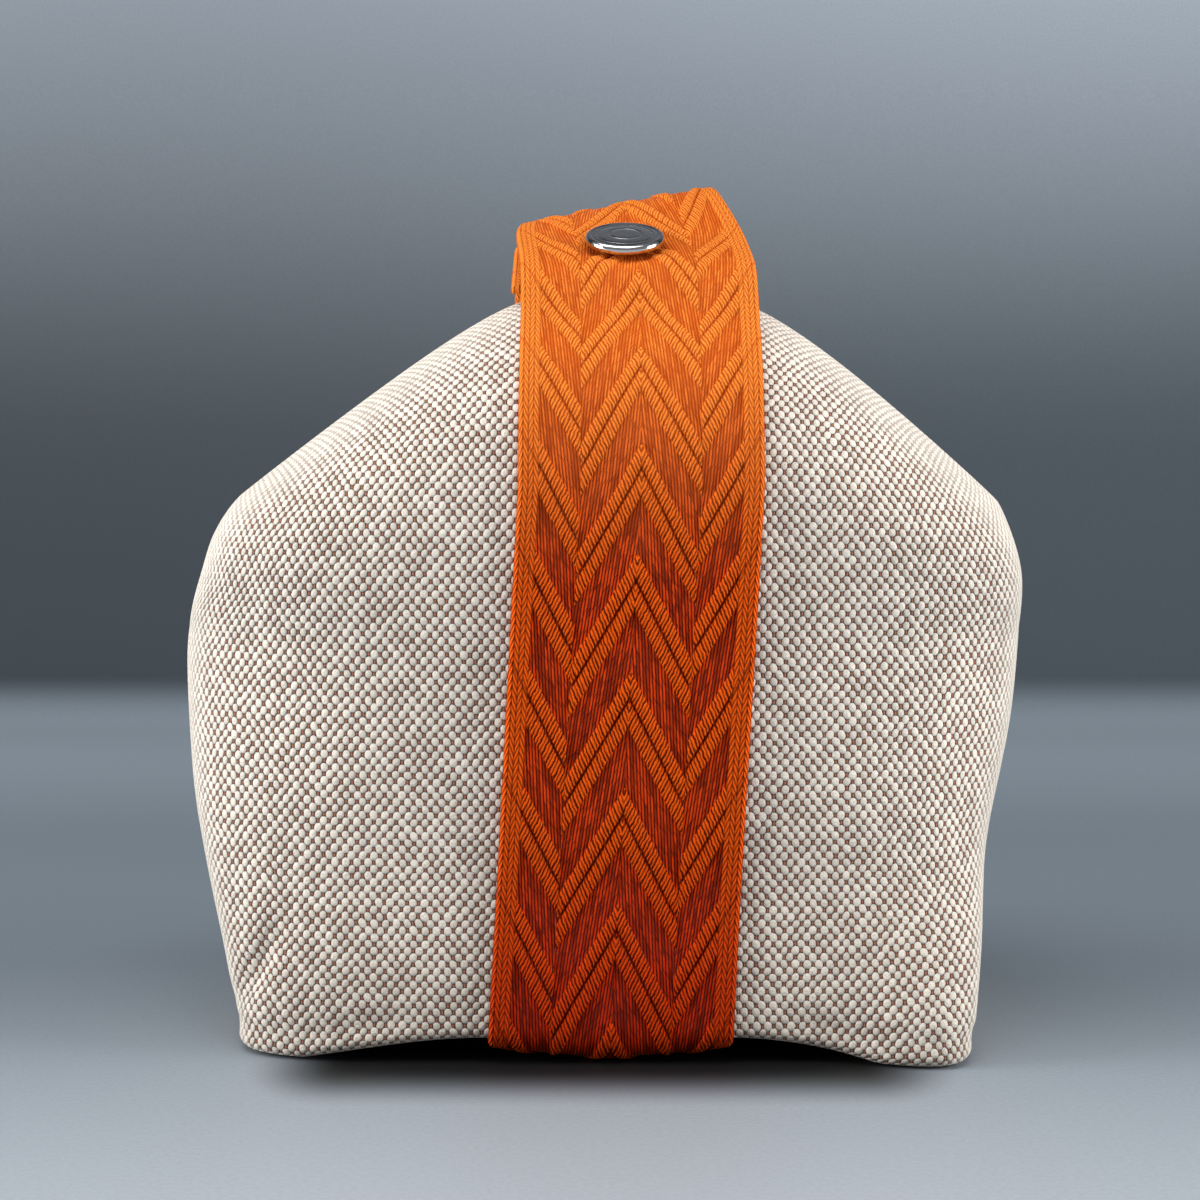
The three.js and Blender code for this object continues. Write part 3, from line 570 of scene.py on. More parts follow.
def body_half(inset, columns, base_rows, wall_rows, roof_rows):
    """Rows of points from the seam under the base up to the ridge, for the front half."""
    rows = []
    x, y = half_outline(*(wall_plan(0.0) - (BASE_ROUNDING, BASE_ROUNDING, 0)), inset)
    for share in np.linspace(0, 1, base_rows, endpoint=False):
        rows.append((x, y * share, base_height(x) + inset))
    for height, drawn_in in wall_climb(CORNER_ROWS, wall_rows):
        x, y = half_outline(*(wall_plan(height) - (drawn_in, drawn_in, 0)), inset)
        rows.append((x, y, wall_height(x, height, inset)))
    for turn in np.linspace(0, math.pi / 2, roof_rows + 1)[1:]:
        rise = math.sin(turn)
        x, y = half_outline(*roof_plan(min(rise, 1.0)), inset)
        rows.append((x, y, SHOULDER_HEIGHT + (crest_height(x) - inset - SHOULDER_HEIGHT) * rise))
    spaced = np.array([evenly(*row, columns) for row in rows])
    points = spaced[:, :3].transpose(0, 2, 1).copy()
    return points, spaced[:, 3], base_rows + CORNER_ROWS + wall_rows - 1


def outward(points):
    normal = np.cross(np.gradient(points, axis=1), np.gradient(points, axis=0))
    length = np.linalg.norm(normal, axis=2, keepdims=True)
    return normal / np.maximum(length, 1e-9)


# %% [markdown]
# ## How the bag settles
# A half-empty bag doesn't stand true. The feet of the panels come forward, one corner of each further
# than the other, the right side sinks in and the left shoulder slumps. The canvas and the lining go
# through the same moves, so that the lining never comes through the canvas.

# %% Settling
BASE_HALF_LEVEL = 44.0
FOOT_PUSH = 5.5
CORNER_PUSH = 9.0
FAR_CORNER_PULL = 2.5
FOOT_REACH = 42.0
FOOT_DEPTH = (4, 38)
SLUMP = 2.6
SLUMP_HEIGHT = 97.0
SLUMP_REACH = 10.0
SLUMP_SIDE = (60, 90)
HOLLOW = 3.0
HOLLOW_HEIGHT = 42.0
HOLLOW_REACH = 20.0
HOLLOW_SIDE = (50, 88)


def foot_push(x, y, z, side):
    """How far the foot of a half comes outward, most at the corner that stands askew."""
    low = (1 - smooth(z, 0, FOOT_REACH)) * smooth(-y, *FOOT_DEPTH)
    near = smooth(-side * x, BASE_HALF_LEVEL, BASE_PLAN[0])
    far = smooth(side * x, BASE_HALF_LEVEL, BASE_PLAN[0])
    return low * (FOOT_PUSH + CORNER_PUSH * near - FAR_CORNER_PULL * far)


def settle(points, side):
    """Moves a half's points in place, and keeps them on their own side of the seam."""
    points[..., 1] -= foot_push(*np.moveaxis(points, 2, 0), side)
    x, z = points[..., 0], points[..., 2]
    hollow = HOLLOW * bell(z, HOLLOW_HEIGHT, HOLLOW_REACH) * smooth(x, *HOLLOW_SIDE)
    slump = SLUMP * bell(z, SLUMP_HEIGHT, SLUMP_REACH) * smooth(-x, *SLUMP_SIDE)
    points[..., 0] += slump - hollow
    points[..., 1] = np.minimum(points[..., 1], -SEAM_GAP / 2)


def half_sheet(name, points, across, zero_row, side, material):
    """The mesh of a half on its own side, with its heights on the map counted from one row."""
    step = np.linalg.norm(np.diff(points, axis=0), axis=2)
    run = np.concatenate([np.zeros((1, points.shape[1])), np.cumsum(step, axis=0)])
    cloth = np.stack([across, run - run[zero_row]], axis=2)
    return grid_piece(name, points * (1, -side, 1), material, cloth, side > 0)


# %% [markdown]
# ## Canvas panels
# Each panel is one sheet: half of the base, half of the sides, one side of the roof, and a hem that
# rolls over the ridge and goes down to the zip. A rigid loft would look like a shell, so the sheet
# is moved along its own normals: slow swells, a crease along the side seams, one over the rolled edge
# of the base, and one that slants up from the front's left corner. Solidify gives it thickness. The
# left end of the mouth opens a little further than the zip, which leaves room for the pull.

# %% Canvas hem
ZIP_SHIFT = 3.0
ZIP_RADIUS = 85.0
ZIP_CENTRE_HEIGHT = 63.0
MOUTH_HALF_WIDTH = ZIP_RADIUS * math.sin(math.radians(58))
MOUTH_HALF_DEPTH = 6.0
PULL_ROOM = 7
MOUTH_RIGHT = ZIP_SHIFT + MOUTH_HALF_WIDTH
MOUTH_LEFT = ZIP_SHIFT - MOUTH_HALF_WIDTH - PULL_ROOM
TAPE_HIGH = 84.0
LIP_ROUNDING = 2.5
LIP_DROP = 0.3
CLOSED_GAP = 0.15
MOUTH_END = (-1, 5)
LIP_WIDTH = 0.6
HEM_TURNS = np.linspace(0, math.pi / 2, 6)[1:]
HEM_SHARES = (0.33, 0.66, 1.0)


def zip_height(x, radius):
    return ZIP_CENTRE_HEIGHT + np.sqrt(radius**2 - np.minimum(np.abs(x - ZIP_SHIFT), radius) ** 2)


def with_lip(points):
    """Adds the hem rows: over the ridge with a rounded edge and down to the zip."""
    x, y, top = points[-1].T
    open_share = smooth(x - MOUTH_LEFT, *MOUTH_END) * smooth(MOUTH_RIGHT - x, *MOUTH_END)
    inner = CLOSED_GAP + (MOUTH_HALF_DEPTH - CLOSED_GAP) * open_share
    inner = np.minimum(inner, np.maximum(CLOSED_GAP, -y - LIP_WIDTH))
    rounding = np.minimum(LIP_ROUNDING, np.maximum(0.2, (-y - inner) * 0.8))
    start = top - rounding
    closed = start - LIP_DROP
    bottom = np.where(open_share > 0, zip_height(x, TAPE_HIGH + SEAM_GAP), top)
    floor = closed * (1 - open_share) + np.minimum(bottom, closed) * open_share
    rows = []
    for turn in HEM_TURNS:
        depth = inner + rounding * (1 - math.sin(turn))
        rows.append(np.stack([x, -depth, top - rounding * (1 - math.cos(turn))], axis=1))
    for share in HEM_SHARES:
        rows.append(np.stack([x, -inner, start + (floor - start) * share], axis=1))
    return np.concatenate([points, np.array(rows)])


# %% Canvas sag
SWELLS = ((0.8, 48), (0.3, 21))
SWELL_START = (2, 22)
CREST_CALM = (3, 14)
STRAP_HOLD = 0.8
STRAP_MIDDLE = 4
STRAP_EDGE = (24, 34)
SEAM_CREASE = 0.7
SEAM_CREASE_WIDTH = 1.3
SEAM_CREASE_START = (1, 6)
SEAM_LEAST_SIDE = 60
ROLL_CREASE = 0.9
ROLL_CREASE_WIDTH = 1.1
ROLL_CREASE_HEIGHT = 5
ROLL_CREASE_SIDE = (34, 46)
ROLL_CREASE_DEPTH = (20, 36)
CORNER_CREASE = 1.8
CORNER_CREASE_WIDTH = 2.6
CORNER_CREASE_REACH = 11
CORNER_CREASE_PLACE = (-71.5, 18)
CORNER_CREASE_WAY = (0.5, 0.87)
CORNER_CREASE_DEPTH = (10, 30)


def sag(points, side):
    """How far each point moves outward, in millimetres."""
    x, y, z = np.moveaxis(points, 2, 0)
    swell = np.empty(x.shape)
    for index in np.ndindex(x.shape):
        spot = Vector((x[index], y[index] * side, z[index]))
        swell[index] = sum(height * noise.noise(spot / length) for height, length in SWELLS)
    below_crest = smooth(crest_height(x) - z, *CREST_CALM)
    under_strap = 1 - smooth(np.abs(x - STRAP_MIDDLE), *STRAP_EDGE)
    move = swell * smooth(z, *SWELL_START) * below_crest * (1 - STRAP_HOLD * under_strap)
    seam = bell(y, 0, SEAM_CREASE_WIDTH) * smooth(z, *SEAM_CREASE_START) * below_crest
    move -= SEAM_CREASE * seam * (np.abs(x) > SEAM_LEAST_SIDE)
    roll = bell(z, base_height(x) + ROLL_CREASE_HEIGHT, ROLL_CREASE_WIDTH)
    move -= ROLL_CREASE * roll * smooth(np.abs(x), *ROLL_CREASE_SIDE) * smooth(-y, *ROLL_CREASE_DEPTH)
    right = x - CORNER_CREASE_PLACE[0]
    up = z - CORNER_CREASE_PLACE[1]
    way_right, way_up = CORNER_CREASE_WAY
    crease = bell(right * way_up - up * way_right, 0, CORNER_CREASE_WIDTH)
    crease *= bell(right * way_right + up * way_up, 0, CORNER_CREASE_REACH)
    return move - CORNER_CREASE * crease * smooth(y * side, *CORNER_CREASE_DEPTH)


# %% Canvas
HALVES = (("front", -1), ("back", 1))
CANVAS_THICKNESS = 1.4
CANVAS_GRID = {"columns": 181, "base_rows": 10, "wall_rows": 46, "roof_rows": 60}


def canvas_panel(name, side):
    points, across, shoulder_row = body_half(0.0, **CANVAS_GRID)
    points = points + outward(points) * sag(points, side)[..., None]
    settle(points, side)
    points = with_lip(points)
    hem_rows = len(points) - len(across)
    across = np.concatenate([across, np.repeat(across[-1:], hem_rows, axis=0)])
    piece = half_sheet(name, points, across, shoulder_row, side, canvas_cloth)
    thick = thicken(piece, CANVAS_THICKNESS, -1)
    closed_hem = (points[..., 0] < MOUTH_LEFT - 2) | (points[..., 0] > MOUTH_RIGHT + 2)
    closed_hem[: len(points) - hem_rows - 2] = False
    full = piece.vertex_groups.new(name="full thickness")
    full.add(np.flatnonzero(~closed_hem).tolist(), 1.0, "REPLACE")
    thick.vertex_group = full.name
    print(name, len(points), "rows of", points.shape[1])
    return piece


for half, side in HALVES:
    stand_in(canvas_panel(f"canvas_{half}_panel", side), "bag_body", "canvas", f"canvas_{half}")

# %% [markdown]
# ## Lining
# Inside hangs a thin cotton lining with one slip pocket. Nobody sees much of it while the zip is shut,
# but it closes the bag from within. It is the same loft, drawn in, and pressed down below the zip. Its
# ends are tucked in where they are pressed down most.

# %% Lining and pocket
LINING_INSET = 2.2
LINING_THICKNESS = 0.5
LINING_TOP = 82.0
LINING_GRID = {"columns": 91, "base_rows": 6, "wall_rows": 24, "roof_rows": 30}
HEM_DEPTH = (13.6, 16.6)
END_TUCK = 4.0
TUCK_DROP = (0, 6)
TUCK_SIDE = (66, 84)
POCKET_HALF_WIDTH = 45.0
POCKET_BOTTOM = 24.0
POCKET_TOP = 84.0
POCKET_ROWS = 31
POCKET_COLUMNS = 46
POCKET_SLACK = 1.1
POCKET_GAPE = 0.9
POCKET_GAPE_HEIGHT = 12
POCKET_GAPE_ARC = 1.4


def lining_panel(name, side):
    points, across, shoulder_row = body_half(LINING_INSET, **LINING_GRID)
    settle(points, side)
    ceiling = zip_height(points[..., 0], LINING_TOP)
    near = 1 - smooth(-points[..., 1], *HEM_DEPTH)
    drop = np.maximum(points[..., 2] - ceiling, 0) * near
    tuck = END_TUCK * smooth(drop, *TUCK_DROP) * smooth(np.abs(points[..., 0]), *TUCK_SIDE)
    points[..., 0] -= np.sign(points[..., 0]) * tuck
    points[..., 2] -= drop
    piece = half_sheet(name, points, across, shoulder_row, side, lining_cloth)
    thicken(piece, LINING_THICKNESS, -1)
    return piece


def lining_pocket():
    points = np.empty((POCKET_ROWS, POCKET_COLUMNS, 3))
    x = np.linspace(-POCKET_HALF_WIDTH, POCKET_HALF_WIDTH, POCKET_COLUMNS)
    for row, height in enumerate(np.linspace(POCKET_BOTTOM, POCKET_TOP, POCKET_ROWS)):
        width, depth, square = wall_plan(height)
        reach = (1 - (np.abs(x) / (width - LINING_INSET)) ** square) ** (1 / square)
        gape = POCKET_GAPE * smooth(height, POCKET_TOP - POCKET_GAPE_HEIGHT, POCKET_TOP)
        slack = POCKET_SLACK + gape * np.cos(x / POCKET_HALF_WIDTH * POCKET_GAPE_ARC)
        y = reach * (depth - LINING_INSET - LINING_THICKNESS) - slack
        y += foot_push(x, -y, height, 1)
        points[row] = np.stack([x, y, np.full(POCKET_COLUMNS, height)], axis=1)
    piece = grid_piece("lining_slip_pocket", points, lining_cloth, points[..., [0, 2]])
    thicken(piece, LINING_THICKNESS, -1)
    return piece


for half, side in HALVES:
    stand_in(lining_panel(f"lining_{half}_panel", side), "bag_body", "lining", f"lining_{half}")
stand_in(lining_pocket(), "bag_body", "lining", "lining_pocket")

# %% [markdown]
# ## Webbing pattern
# The strap is a thick jacquard webbing. Two rope-like ribs run in zigzag chevrons over a field of long
# satin floats, and a braided edge closes both sides. The zigzag is one folded coordinate: the distance
# along the strap plus a share of the distance to the fold line. Where that coordinate falls within a
# repeat says whether a point lies on the first rib, in the slit, on the second rib or on the satin.
# The mesh uses it for the relief and the material for colour and thread, so both stay in step.

# %% Webbing relief
FOLD_LINE = 12.3
LEG_SLOPE = 1.8
LEG_STEP = 7.7
REPEAT_BODY = 23.9
REPEAT_TOP = 22.0
REPEAT_CHANGE = 104.3
BRAID_START = 20.8
BRAID_PITCH = 1.05
FIRST_RIB_END = 0.22
SECOND_RIB_START = 0.26
SECOND_RIB_END = 0.49
FIRST_RIB_HEIGHT = 0.62
SECOND_RIB_HEIGHT = 0.5


def band(across, along):
    """The place within a repeat, from 0 at the upper edge of the first rib to 1."""
    off = np.abs(across)
    turn = along + LEG_SLOPE * (FOLD_LINE - np.abs(off - FOLD_LINE)) - REPEAT_CHANGE
    turn = turn - LEG_STEP * (off > FOLD_LINE)
    count = np.minimum(turn, 0) / REPEAT_BODY + np.maximum(turn, 0) / REPEAT_TOP
    return 1 - (count - np.floor(count))


def crown(q, start, end):
    """A rib's round back, a quarter higher in its middle than at its edges."""
    share = np.clip((q - start) / (end - start), 0, 1)
    return 0.75 + 0.25 * np.sin(share * math.pi)


def relief(across, along):
    """The height of the ribs and the braided edge over the satin, in millimetres."""
    q = band(across, along)
    first = smooth(q, 0.0, 0.03) * (1 - smooth(q, FIRST_RIB_END - 0.03, FIRST_RIB_END + 0.01))
    second = smooth(q, SECOND_RIB_START - 0.01, SECOND_RIB_START + 0.025)
    second *= 1 - smooth(q, SECOND_RIB_END - 0.035, SECOND_RIB_END + 0.01)
    ribs = FIRST_RIB_HEIGHT * first * crown(q, 0, FIRST_RIB_END)
    ribs += SECOND_RIB_HEIGHT * second * crown(q, SECOND_RIB_START, SECOND_RIB_END)
    off = np.abs(across)
    ribs *= 1 - 0.5 * bell(off, FOLD_LINE, 0.5)
    braid = 0.34 + 0.12 * np.abs(np.cos(math.pi * (off - BRAID_START) / BRAID_PITCH))
    edge = smooth(off, BRAID_START - 0.4, BRAID_START + 0.3)
    return ribs * (1 - edge) + braid * edge


# %% Webbing group: zones
# Rib and Satin are the front's shaded colours, the lit colours are painted light for the top, and the gap
# shades are painted shade between threads.
WEBBING_COLOURS = {
    "Rib": (0.95, 0.115, 0.0035, 1),
    "Satin": (0.88, 0.064, 0.002, 1),
    "Gap Shade": (0.06, 0.001, 0.0001, 1),
    "Lit Rib": (0.95, 0.29, 0.042, 1),
    "Lit Satin": (0.92, 0.24, 0.032, 1),
    "Lit Gap Shade": (0.55, 0.07, 0.004, 1),
}

desk, given, out = new_group(
    "chevron_webbing",
    {"Cloth": VECTOR, **dict.fromkeys(WEBBING_COLOURS, COLOUR)},
    {"Colour": COLOUR, "Height": FLOAT, "Roughness": FLOAT},
)
u, s, _ = desk.split(given["Cloth"])
off = abs(u)
beyond = off - FOLD_LINE
leg = (FOLD_LINE - abs(beyond)) * LEG_SLOPE
turn = s + leg - desk.math("GREATER_THAN", beyond, 0.0) * LEG_STEP - REPEAT_CHANGE
low = desk.math("MINIMUM", turn, 0.0) / REPEAT_BODY
high = desk.math("MAXIMUM", turn, 0.0) / REPEAT_TOP
q = 1.0 - desk.math("FRACT", low + high)


def between(rise, fall):
    return desk.ease(q, *rise) * desk.ease(q, *fall, 1.0, 0.0)


first_end = (FIRST_RIB_END - 0.01, FIRST_RIB_END + 0.015)
slit_start = (FIRST_RIB_END - 0.015, FIRST_RIB_END + 0.01)
second_start = (SECOND_RIB_START - 0.01, SECOND_RIB_START + 0.015)
second_end = (SECOND_RIB_END - 0.015, SECOND_RIB_END + 0.015)
on_rib = desk.math("MAXIMUM", between((0.0, 0.012), first_end), between(second_start, second_end))
slit = between(slit_start, second_start)
in_braid = desk.ease(off, BRAID_START - 0.2, BRAID_START + 0.2)


def choose(rib, satin, braid):
    body = rib * on_rib + satin * (1.0 - on_rib)
    return braid * in_braid + body * (1.0 - in_braid)

# %% Webbing group: threads
FIBRE_PITCH = 0.7
FIBRE_LEAN = math.radians(22)
FIBRE_ACROSS = math.cos(FIBRE_LEAN) / FIBRE_PITCH
FIBRE_ALONG = math.sin(FIBRE_LEAN) / FIBRE_PITCH
FLOAT_LENGTH = 3.6
FLOAT_PITCH = 0.64
FLOAT_LEAN = 0.09

lean = desk.math("SIGN", u) * desk.math("SIGN", beyond)
fray = (desk.noise(given["Cloth"], 0.9) - 0.5) * 0.5
strand = u * lean * FIBRE_ACROSS + s * FIBRE_ALONG + fray * 1.6
bundle = desk.wave(u * lean * 0.55 + s * 0.3 + fray)
stitch = desk.wave(strand) * 0.7 + bundle * 0.3
float_run = (u - lean * s * FLOAT_LEAN) / FLOAT_PITCH + fray * 0.6
column = desk.math("FLOOR", float_run)
float_side = abs(desk.math("FRACT", float_run) - 0.5)
float_turn = turn / FLOAT_LENGTH
float_share = desk.math("FRACT", float_turn + desk.chance(column, 0.5, 0.5) + fray * 0.3)
float_end = desk.ease(abs(float_share - 0.5), 0.36, 0.5, 1.0, 0.5)
floats = desk.ease(float_side, 0.12, 0.48, 1.0, 0.0) * float_end
streak = desk.chance(column, desk.math("FLOOR", float_turn), 0.5)
braid_place = (off - BRAID_START) / BRAID_PITCH
zig = desk.math("MODULO", desk.math("FLOOR", braid_place), 2.0) * 2.0 - 1.0
across_row = desk.math("FRACT", braid_place) - 0.5
plait = desk.wave(s * 0.6 + zig * across_row * 1.5 + fray)
braid_round = desk.ease(abs(across_row), 0.25, 0.5, 1.0, 0.0)
rib_height = stitch * 0.34 + 0.6
satin_height = floats * 0.5 + streak * 0.08
braid_height = plait * 0.22 + braid_round * 0.45
desk.feed(out["Height"], choose(rib_height, satin_height, braid_height))

# %% [markdown]
# ## Webbing colour
# Between its threads the webbing has painted shade in deep red, and on them it is orange, with the ribs
# more yellow than the satin. Its top has painted light and is bright, the front below has painted shade and
# is darker, and more painted shade darkens it towards the base, so the group mixes lit and shaded colours
# by the distance from the middle of the base.

# %% Webbing group: colour
BASE_RUN = -20.0
BASE_SHADE_RUN = (30.0, 82.0)
LIT_TOP_RUN = (112.0, 176.0)
BASE_SHADE_TINT = (0.64, 0.36, 0.05, 1)

# Painted shade between threads: the fill darkens towards the gap shade between strands, floats and plaits
# and in the slit between the ribs, while the satin's streaks add its own tone by chance.
rib_fill = desk.ease(stitch, -0.75, 0.55, 0.06, 1.0)
satin_fill = floats * desk.ease(streak, 0.0, 1.0, 0.35, 1.05)
braid_fill = desk.ease(plait, -0.8, 0.4, 0.3, 1.0) * desk.ease(braid_round, 0.0, 1.0, 0.4, 1.0)
fill = choose(rib_fill, satin_fill, braid_fill) * desk.ease(slit, 0.0, 1.0, 1.0, 0.5)
warm = desk.math("MAXIMUM", on_rib, in_braid)
from_base = abs(s - BASE_RUN)
# The front below takes the shaded copies of the colours: painted shade.
shaded_front = desk.mix(fill, given["Gap Shade"], desk.mix(warm, given["Satin"], given["Rib"]))
# Painted shade towards the base: the front darkens more the nearer it is to the base.
shaded_near_base = desk.mix(1.0, shaded_front, BASE_SHADE_TINT, "MULTIPLY")
shaded_front = desk.mix(desk.ease(from_base, *BASE_SHADE_RUN, 1.0, 0.0), shaded_front, shaded_near_base)
# Painted light on the top: the lit copies of the same colours.
lit_top = desk.mix(fill, given["Lit Gap Shade"], desk.mix(warm, given["Lit Satin"], given["Lit Rib"]))
desk.feed(out["Colour"], desk.mix(desk.ease(from_base, *LIT_TOP_RUN), shaded_front, lit_top))
desk.feed(out["Roughness"], desk.ease(warm, 0.0, 1.0, 0.5, 0.75))

# %% Webbing material
WEBBING_FINISH = {
    "Specular IOR Level": 0.05,
    "Sheen Weight": 0.1,
    "Sheen Roughness": 0.45,
    "Sheen Tint": (1.0, 0.35, 0.04, 1),
}
webbing_cloth, desk, shader, weave = woven_material(
    "orange_webbing", "chevron_webbing", 0.4, WEBBING_COLOURS, WEBBING_FINISH
)
desk.feed(shader["Roughness"], weave["Roughness"])

# %% [markdown]
# ## Strap path
# On the real bag one length of webbing is sewn up the front, under the base and up the back. Its
# front end goes on over the top as a flap, and its back end lies under the flap as a tongue with the
# lower half of the snap. Each run is a line in the middle plane, offset from the canvas rules and
# joined by the same curves as in the solid, then resampled so that rows lie half a millimetre apart.

# %% Places on the roof and at the snap
SNAP_DEPTH = -6.0
SNAP_TILT = math.radians(22)
SNAP_WAY = np.array([math.cos(SNAP_TILT), math.sin(SNAP_TILT)])
SNAP_SEAT_HEIGHT = 161.198
ROOF_SAMPLES = 400
ROOF_STEP = 0.5


def roof_height(half_depth):
    rises = np.sin(np.linspace(0, math.pi / 2, ROOF_SAMPLES))
    depths = np.array([roof_plan(rise)[1] for rise in rises])
    rise = np.interp(-half_depth, -depths, rises)
    return SHOULDER_HEIGHT + (crest_height(0) - SHOULDER_HEIGHT) * rise


def roof_place(half_depth, lift):
    """A place over the back roof, with its uphill direction."""
    climb = roof_height(half_depth - ROOF_STEP) - roof_height(half_depth + ROOF_STEP)
    rise = climb / (2 * ROOF_STEP)
    uphill = np.array([-1.0, rise]) / math.hypot(1, rise)
    out = np.array([uphill[1], -uphill[0]])
    return np.array([half_depth, roof_height(half_depth)]) + out * lift, uphill


def snap_place(along, up):
    c, s = SNAP_WAY
    return np.array([SNAP_DEPTH + along * c - up * s, SNAP_SEAT_HEIGHT + along * s + up * c])


# %% Lines
FOLD_HALF_DEPTH = 28.0
STRAP_SPLIT = -20.0
STRAP_STEP = 0.5
SIDE_CORNER_ROWS = 11
SIDE_WALL_ROWS = 40
SIDE_ROOF_ROWS = 60
LINE_ROUNDING = 10
PATH_ROUNDING = 30


def bend(start, start_way, start_handle, end, end_way, end_handle):
    t = np.linspace(0, 1, 60)[:, None]
    first = start + np.asarray(start_way) * start_handle
    second = end - np.asarray(end_way) * end_handle
    return start * (1 - t) ** 3 + 3 * first * t * (1 - t) ** 2 + 3 * second * t**2 * (1 - t) + end * t**3


def wrapped_side():
    """Depth and height of the canvas from under the base up to the fold, for the back."""
    line = [(-STRAP_SPLIT, base_height(STRAP_BASE_SHIFT))]
    for height, drawn_in in wall_climb(SIDE_CORNER_ROWS, SIDE_WALL_ROWS):
        line.append((wall_plan(height)[1] - drawn_in, wall_height(STRAP_BASE_SHIFT, height, 0)))
    for depth in np.linspace(SHOULDER_PLAN[1] - 0.2, FOLD_HALF_DEPTH, SIDE_ROOF_ROWS):
        line.append((depth, roof_height(depth)))
    return np.array(line)


def line_run(line):
    return np.concatenate([[0], np.cumsum(np.hypot(*np.diff(line, axis=0).T))])


def even_line(line, rounding):
    """Resamples a line at the strap's step and rounds its kinks."""
    run = line_run(line)
    count = 4 * int(run[-1] / STRAP_STEP / 4) + 1
    wanted = np.linspace(0, run[-1], count)
    even = np.stack([np.interp(wanted, run, line[:, 0]), np.interp(wanted, run, line[:, 1])], axis=1)
    for _ in range(rounding):
        even[1:-1] = (even[:-2] + 2 * even[1:-1] + even[2:]) / 4
    return even


def ways_out(line):
    way = np.gradient(line, axis=0)
    way /= np.linalg.norm(way, axis=1, keepdims=True)
    return np.stack([-way[:, 1], way[:, 0]], axis=1)


def over_canvas(line):
    even = even_line(line, LINE_ROUNDING)
    return even + ways_out(even) * SEAM_GAP


# %% Strap path
CAP_RADIUS = 8.2
FLAP_LOW = 5.8
FLAP_TIP_DEPTH = 39.0
FLAP_TIP_LIFT = 5.0
FLAP_FRONT_HANDLE = 7
FLAP_BACK_HANDLE = 40
FLAP_TIP_HANDLE = 20
TONGUE_TIP = 9.5
TONGUE_HANDLE = 30
TONGUE_ROOT_HANDLE = 12

back_side = wrapped_side()
back_side[:, 0] += foot_push(0, -back_side[:, 0], back_side[:, 1], 1)
mirror = np.array([-1.0, 1.0])
fold_back, back_uphill = roof_place(FOLD_HALF_DEPTH, SEAM_GAP)
fold_front = fold_back * mirror
front_uphill = back_uphill * mirror
tip_place, tip_uphill = roof_place(FLAP_TIP_DEPTH, FLAP_TIP_LIFT)
before_cap = snap_place(-CAP_RADIUS, FLAP_LOW)
past_cap = snap_place(CAP_RADIUS, FLAP_LOW)
past_stud = snap_place(CAP_RADIUS, 0)
over_line = bend(fold_front, front_uphill, FLAP_FRONT_HANDLE, before_cap, SNAP_WAY, FLAP_FRONT_HANDLE)
tip_line = bend(past_cap, SNAP_WAY, FLAP_BACK_HANDLE, tip_place, -tip_uphill, FLAP_TIP_HANDLE)
root_line = bend(past_stud, SNAP_WAY, TONGUE_HANDLE, fold_back, -back_uphill, TONGUE_ROOT_HANDLE)
front_line = over_canvas(back_side * mirror)
back_line = over_canvas(back_side[::-1])
flap_path = even_line(np.concatenate([front_line, over_line[1:], tip_line]), PATH_ROUNDING)
tongue_tip = [snap_place(-TONGUE_TIP, 0)]
tongue_path = even_line(np.concatenate([tongue_tip, root_line, back_line[1:]]), PATH_ROUNDING)
print("strap lengths", [round(len(path) * STRAP_STEP) for path in (flap_path, tongue_path)], "mm")

# %% [markdown]
# ## Strap pieces
# A flat ribbon with a printed pattern would not do: the ribs stand up and catch the light, and the loop
# over the top is twisted a little, so that its right end stands higher. Each run is a fine grid with the
# ribs as relief, a coarser underside, and a rim between them. Round the snap the webbing is pressed down
# and puckers. The front run is one mesh that goes on from the body to the flap.

# %% Strap surfaces
STRAP_COLUMNS = 101
STRAP_SHIFT_FRONT = 8.0
STRAP_SHIFT_BACK = 5.0
STRAP_LEAN_HEIGHT = 118.0
TONGUE_SHIFT = 5.6
TONGUE_SHIFT_RUN = (12, 30)
FLAP_SHIFT_RUN = (-FOLD_HALF_DEPTH, 22)
WEB_BODY = 1.45
RIM_ROUNDING = 1.2
TWISTS = (4.0, 6.0)
LOOP_LIFT = 2.0
LOOP_ARCH = 2.2
LOOP_GATHERS = (0.08, 0.2)
PUCKER = 0.5
PUCKER_RADIUS = 12.0
PUCKER_WIDTH = 2.5
PRESSED_REACH = (7.5, 11)
BOW_BELOW = 30
SNAP_SIDEWAYS = sum(corner.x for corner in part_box("snap_cap")) / 2 / MM


def strap_shift(line, tongue):
    """How far the webbing's middle lies to the right. The tongue stays hidden under the flap."""
    start = TONGUE_SHIFT if tongue else STRAP_SHIFT_FRONT
    over = smooth(line[:, 0], *(TONGUE_SHIFT_RUN if tongue else FLAP_SHIFT_RUN))
    above = start + (STRAP_SHIFT_BACK - start) * over
    top = np.where(line[:, 0] < 0, STRAP_SHIFT_FRONT, STRAP_SHIFT_BACK)
    climb = np.clip(line[:, 1] / STRAP_LEAN_HEIGHT, 0, 1)
    below = STRAP_BASE_SHIFT + (top - STRAP_BASE_SHIFT) * climb
    return np.where(line[:, 1] > fold_back[1], above, below)


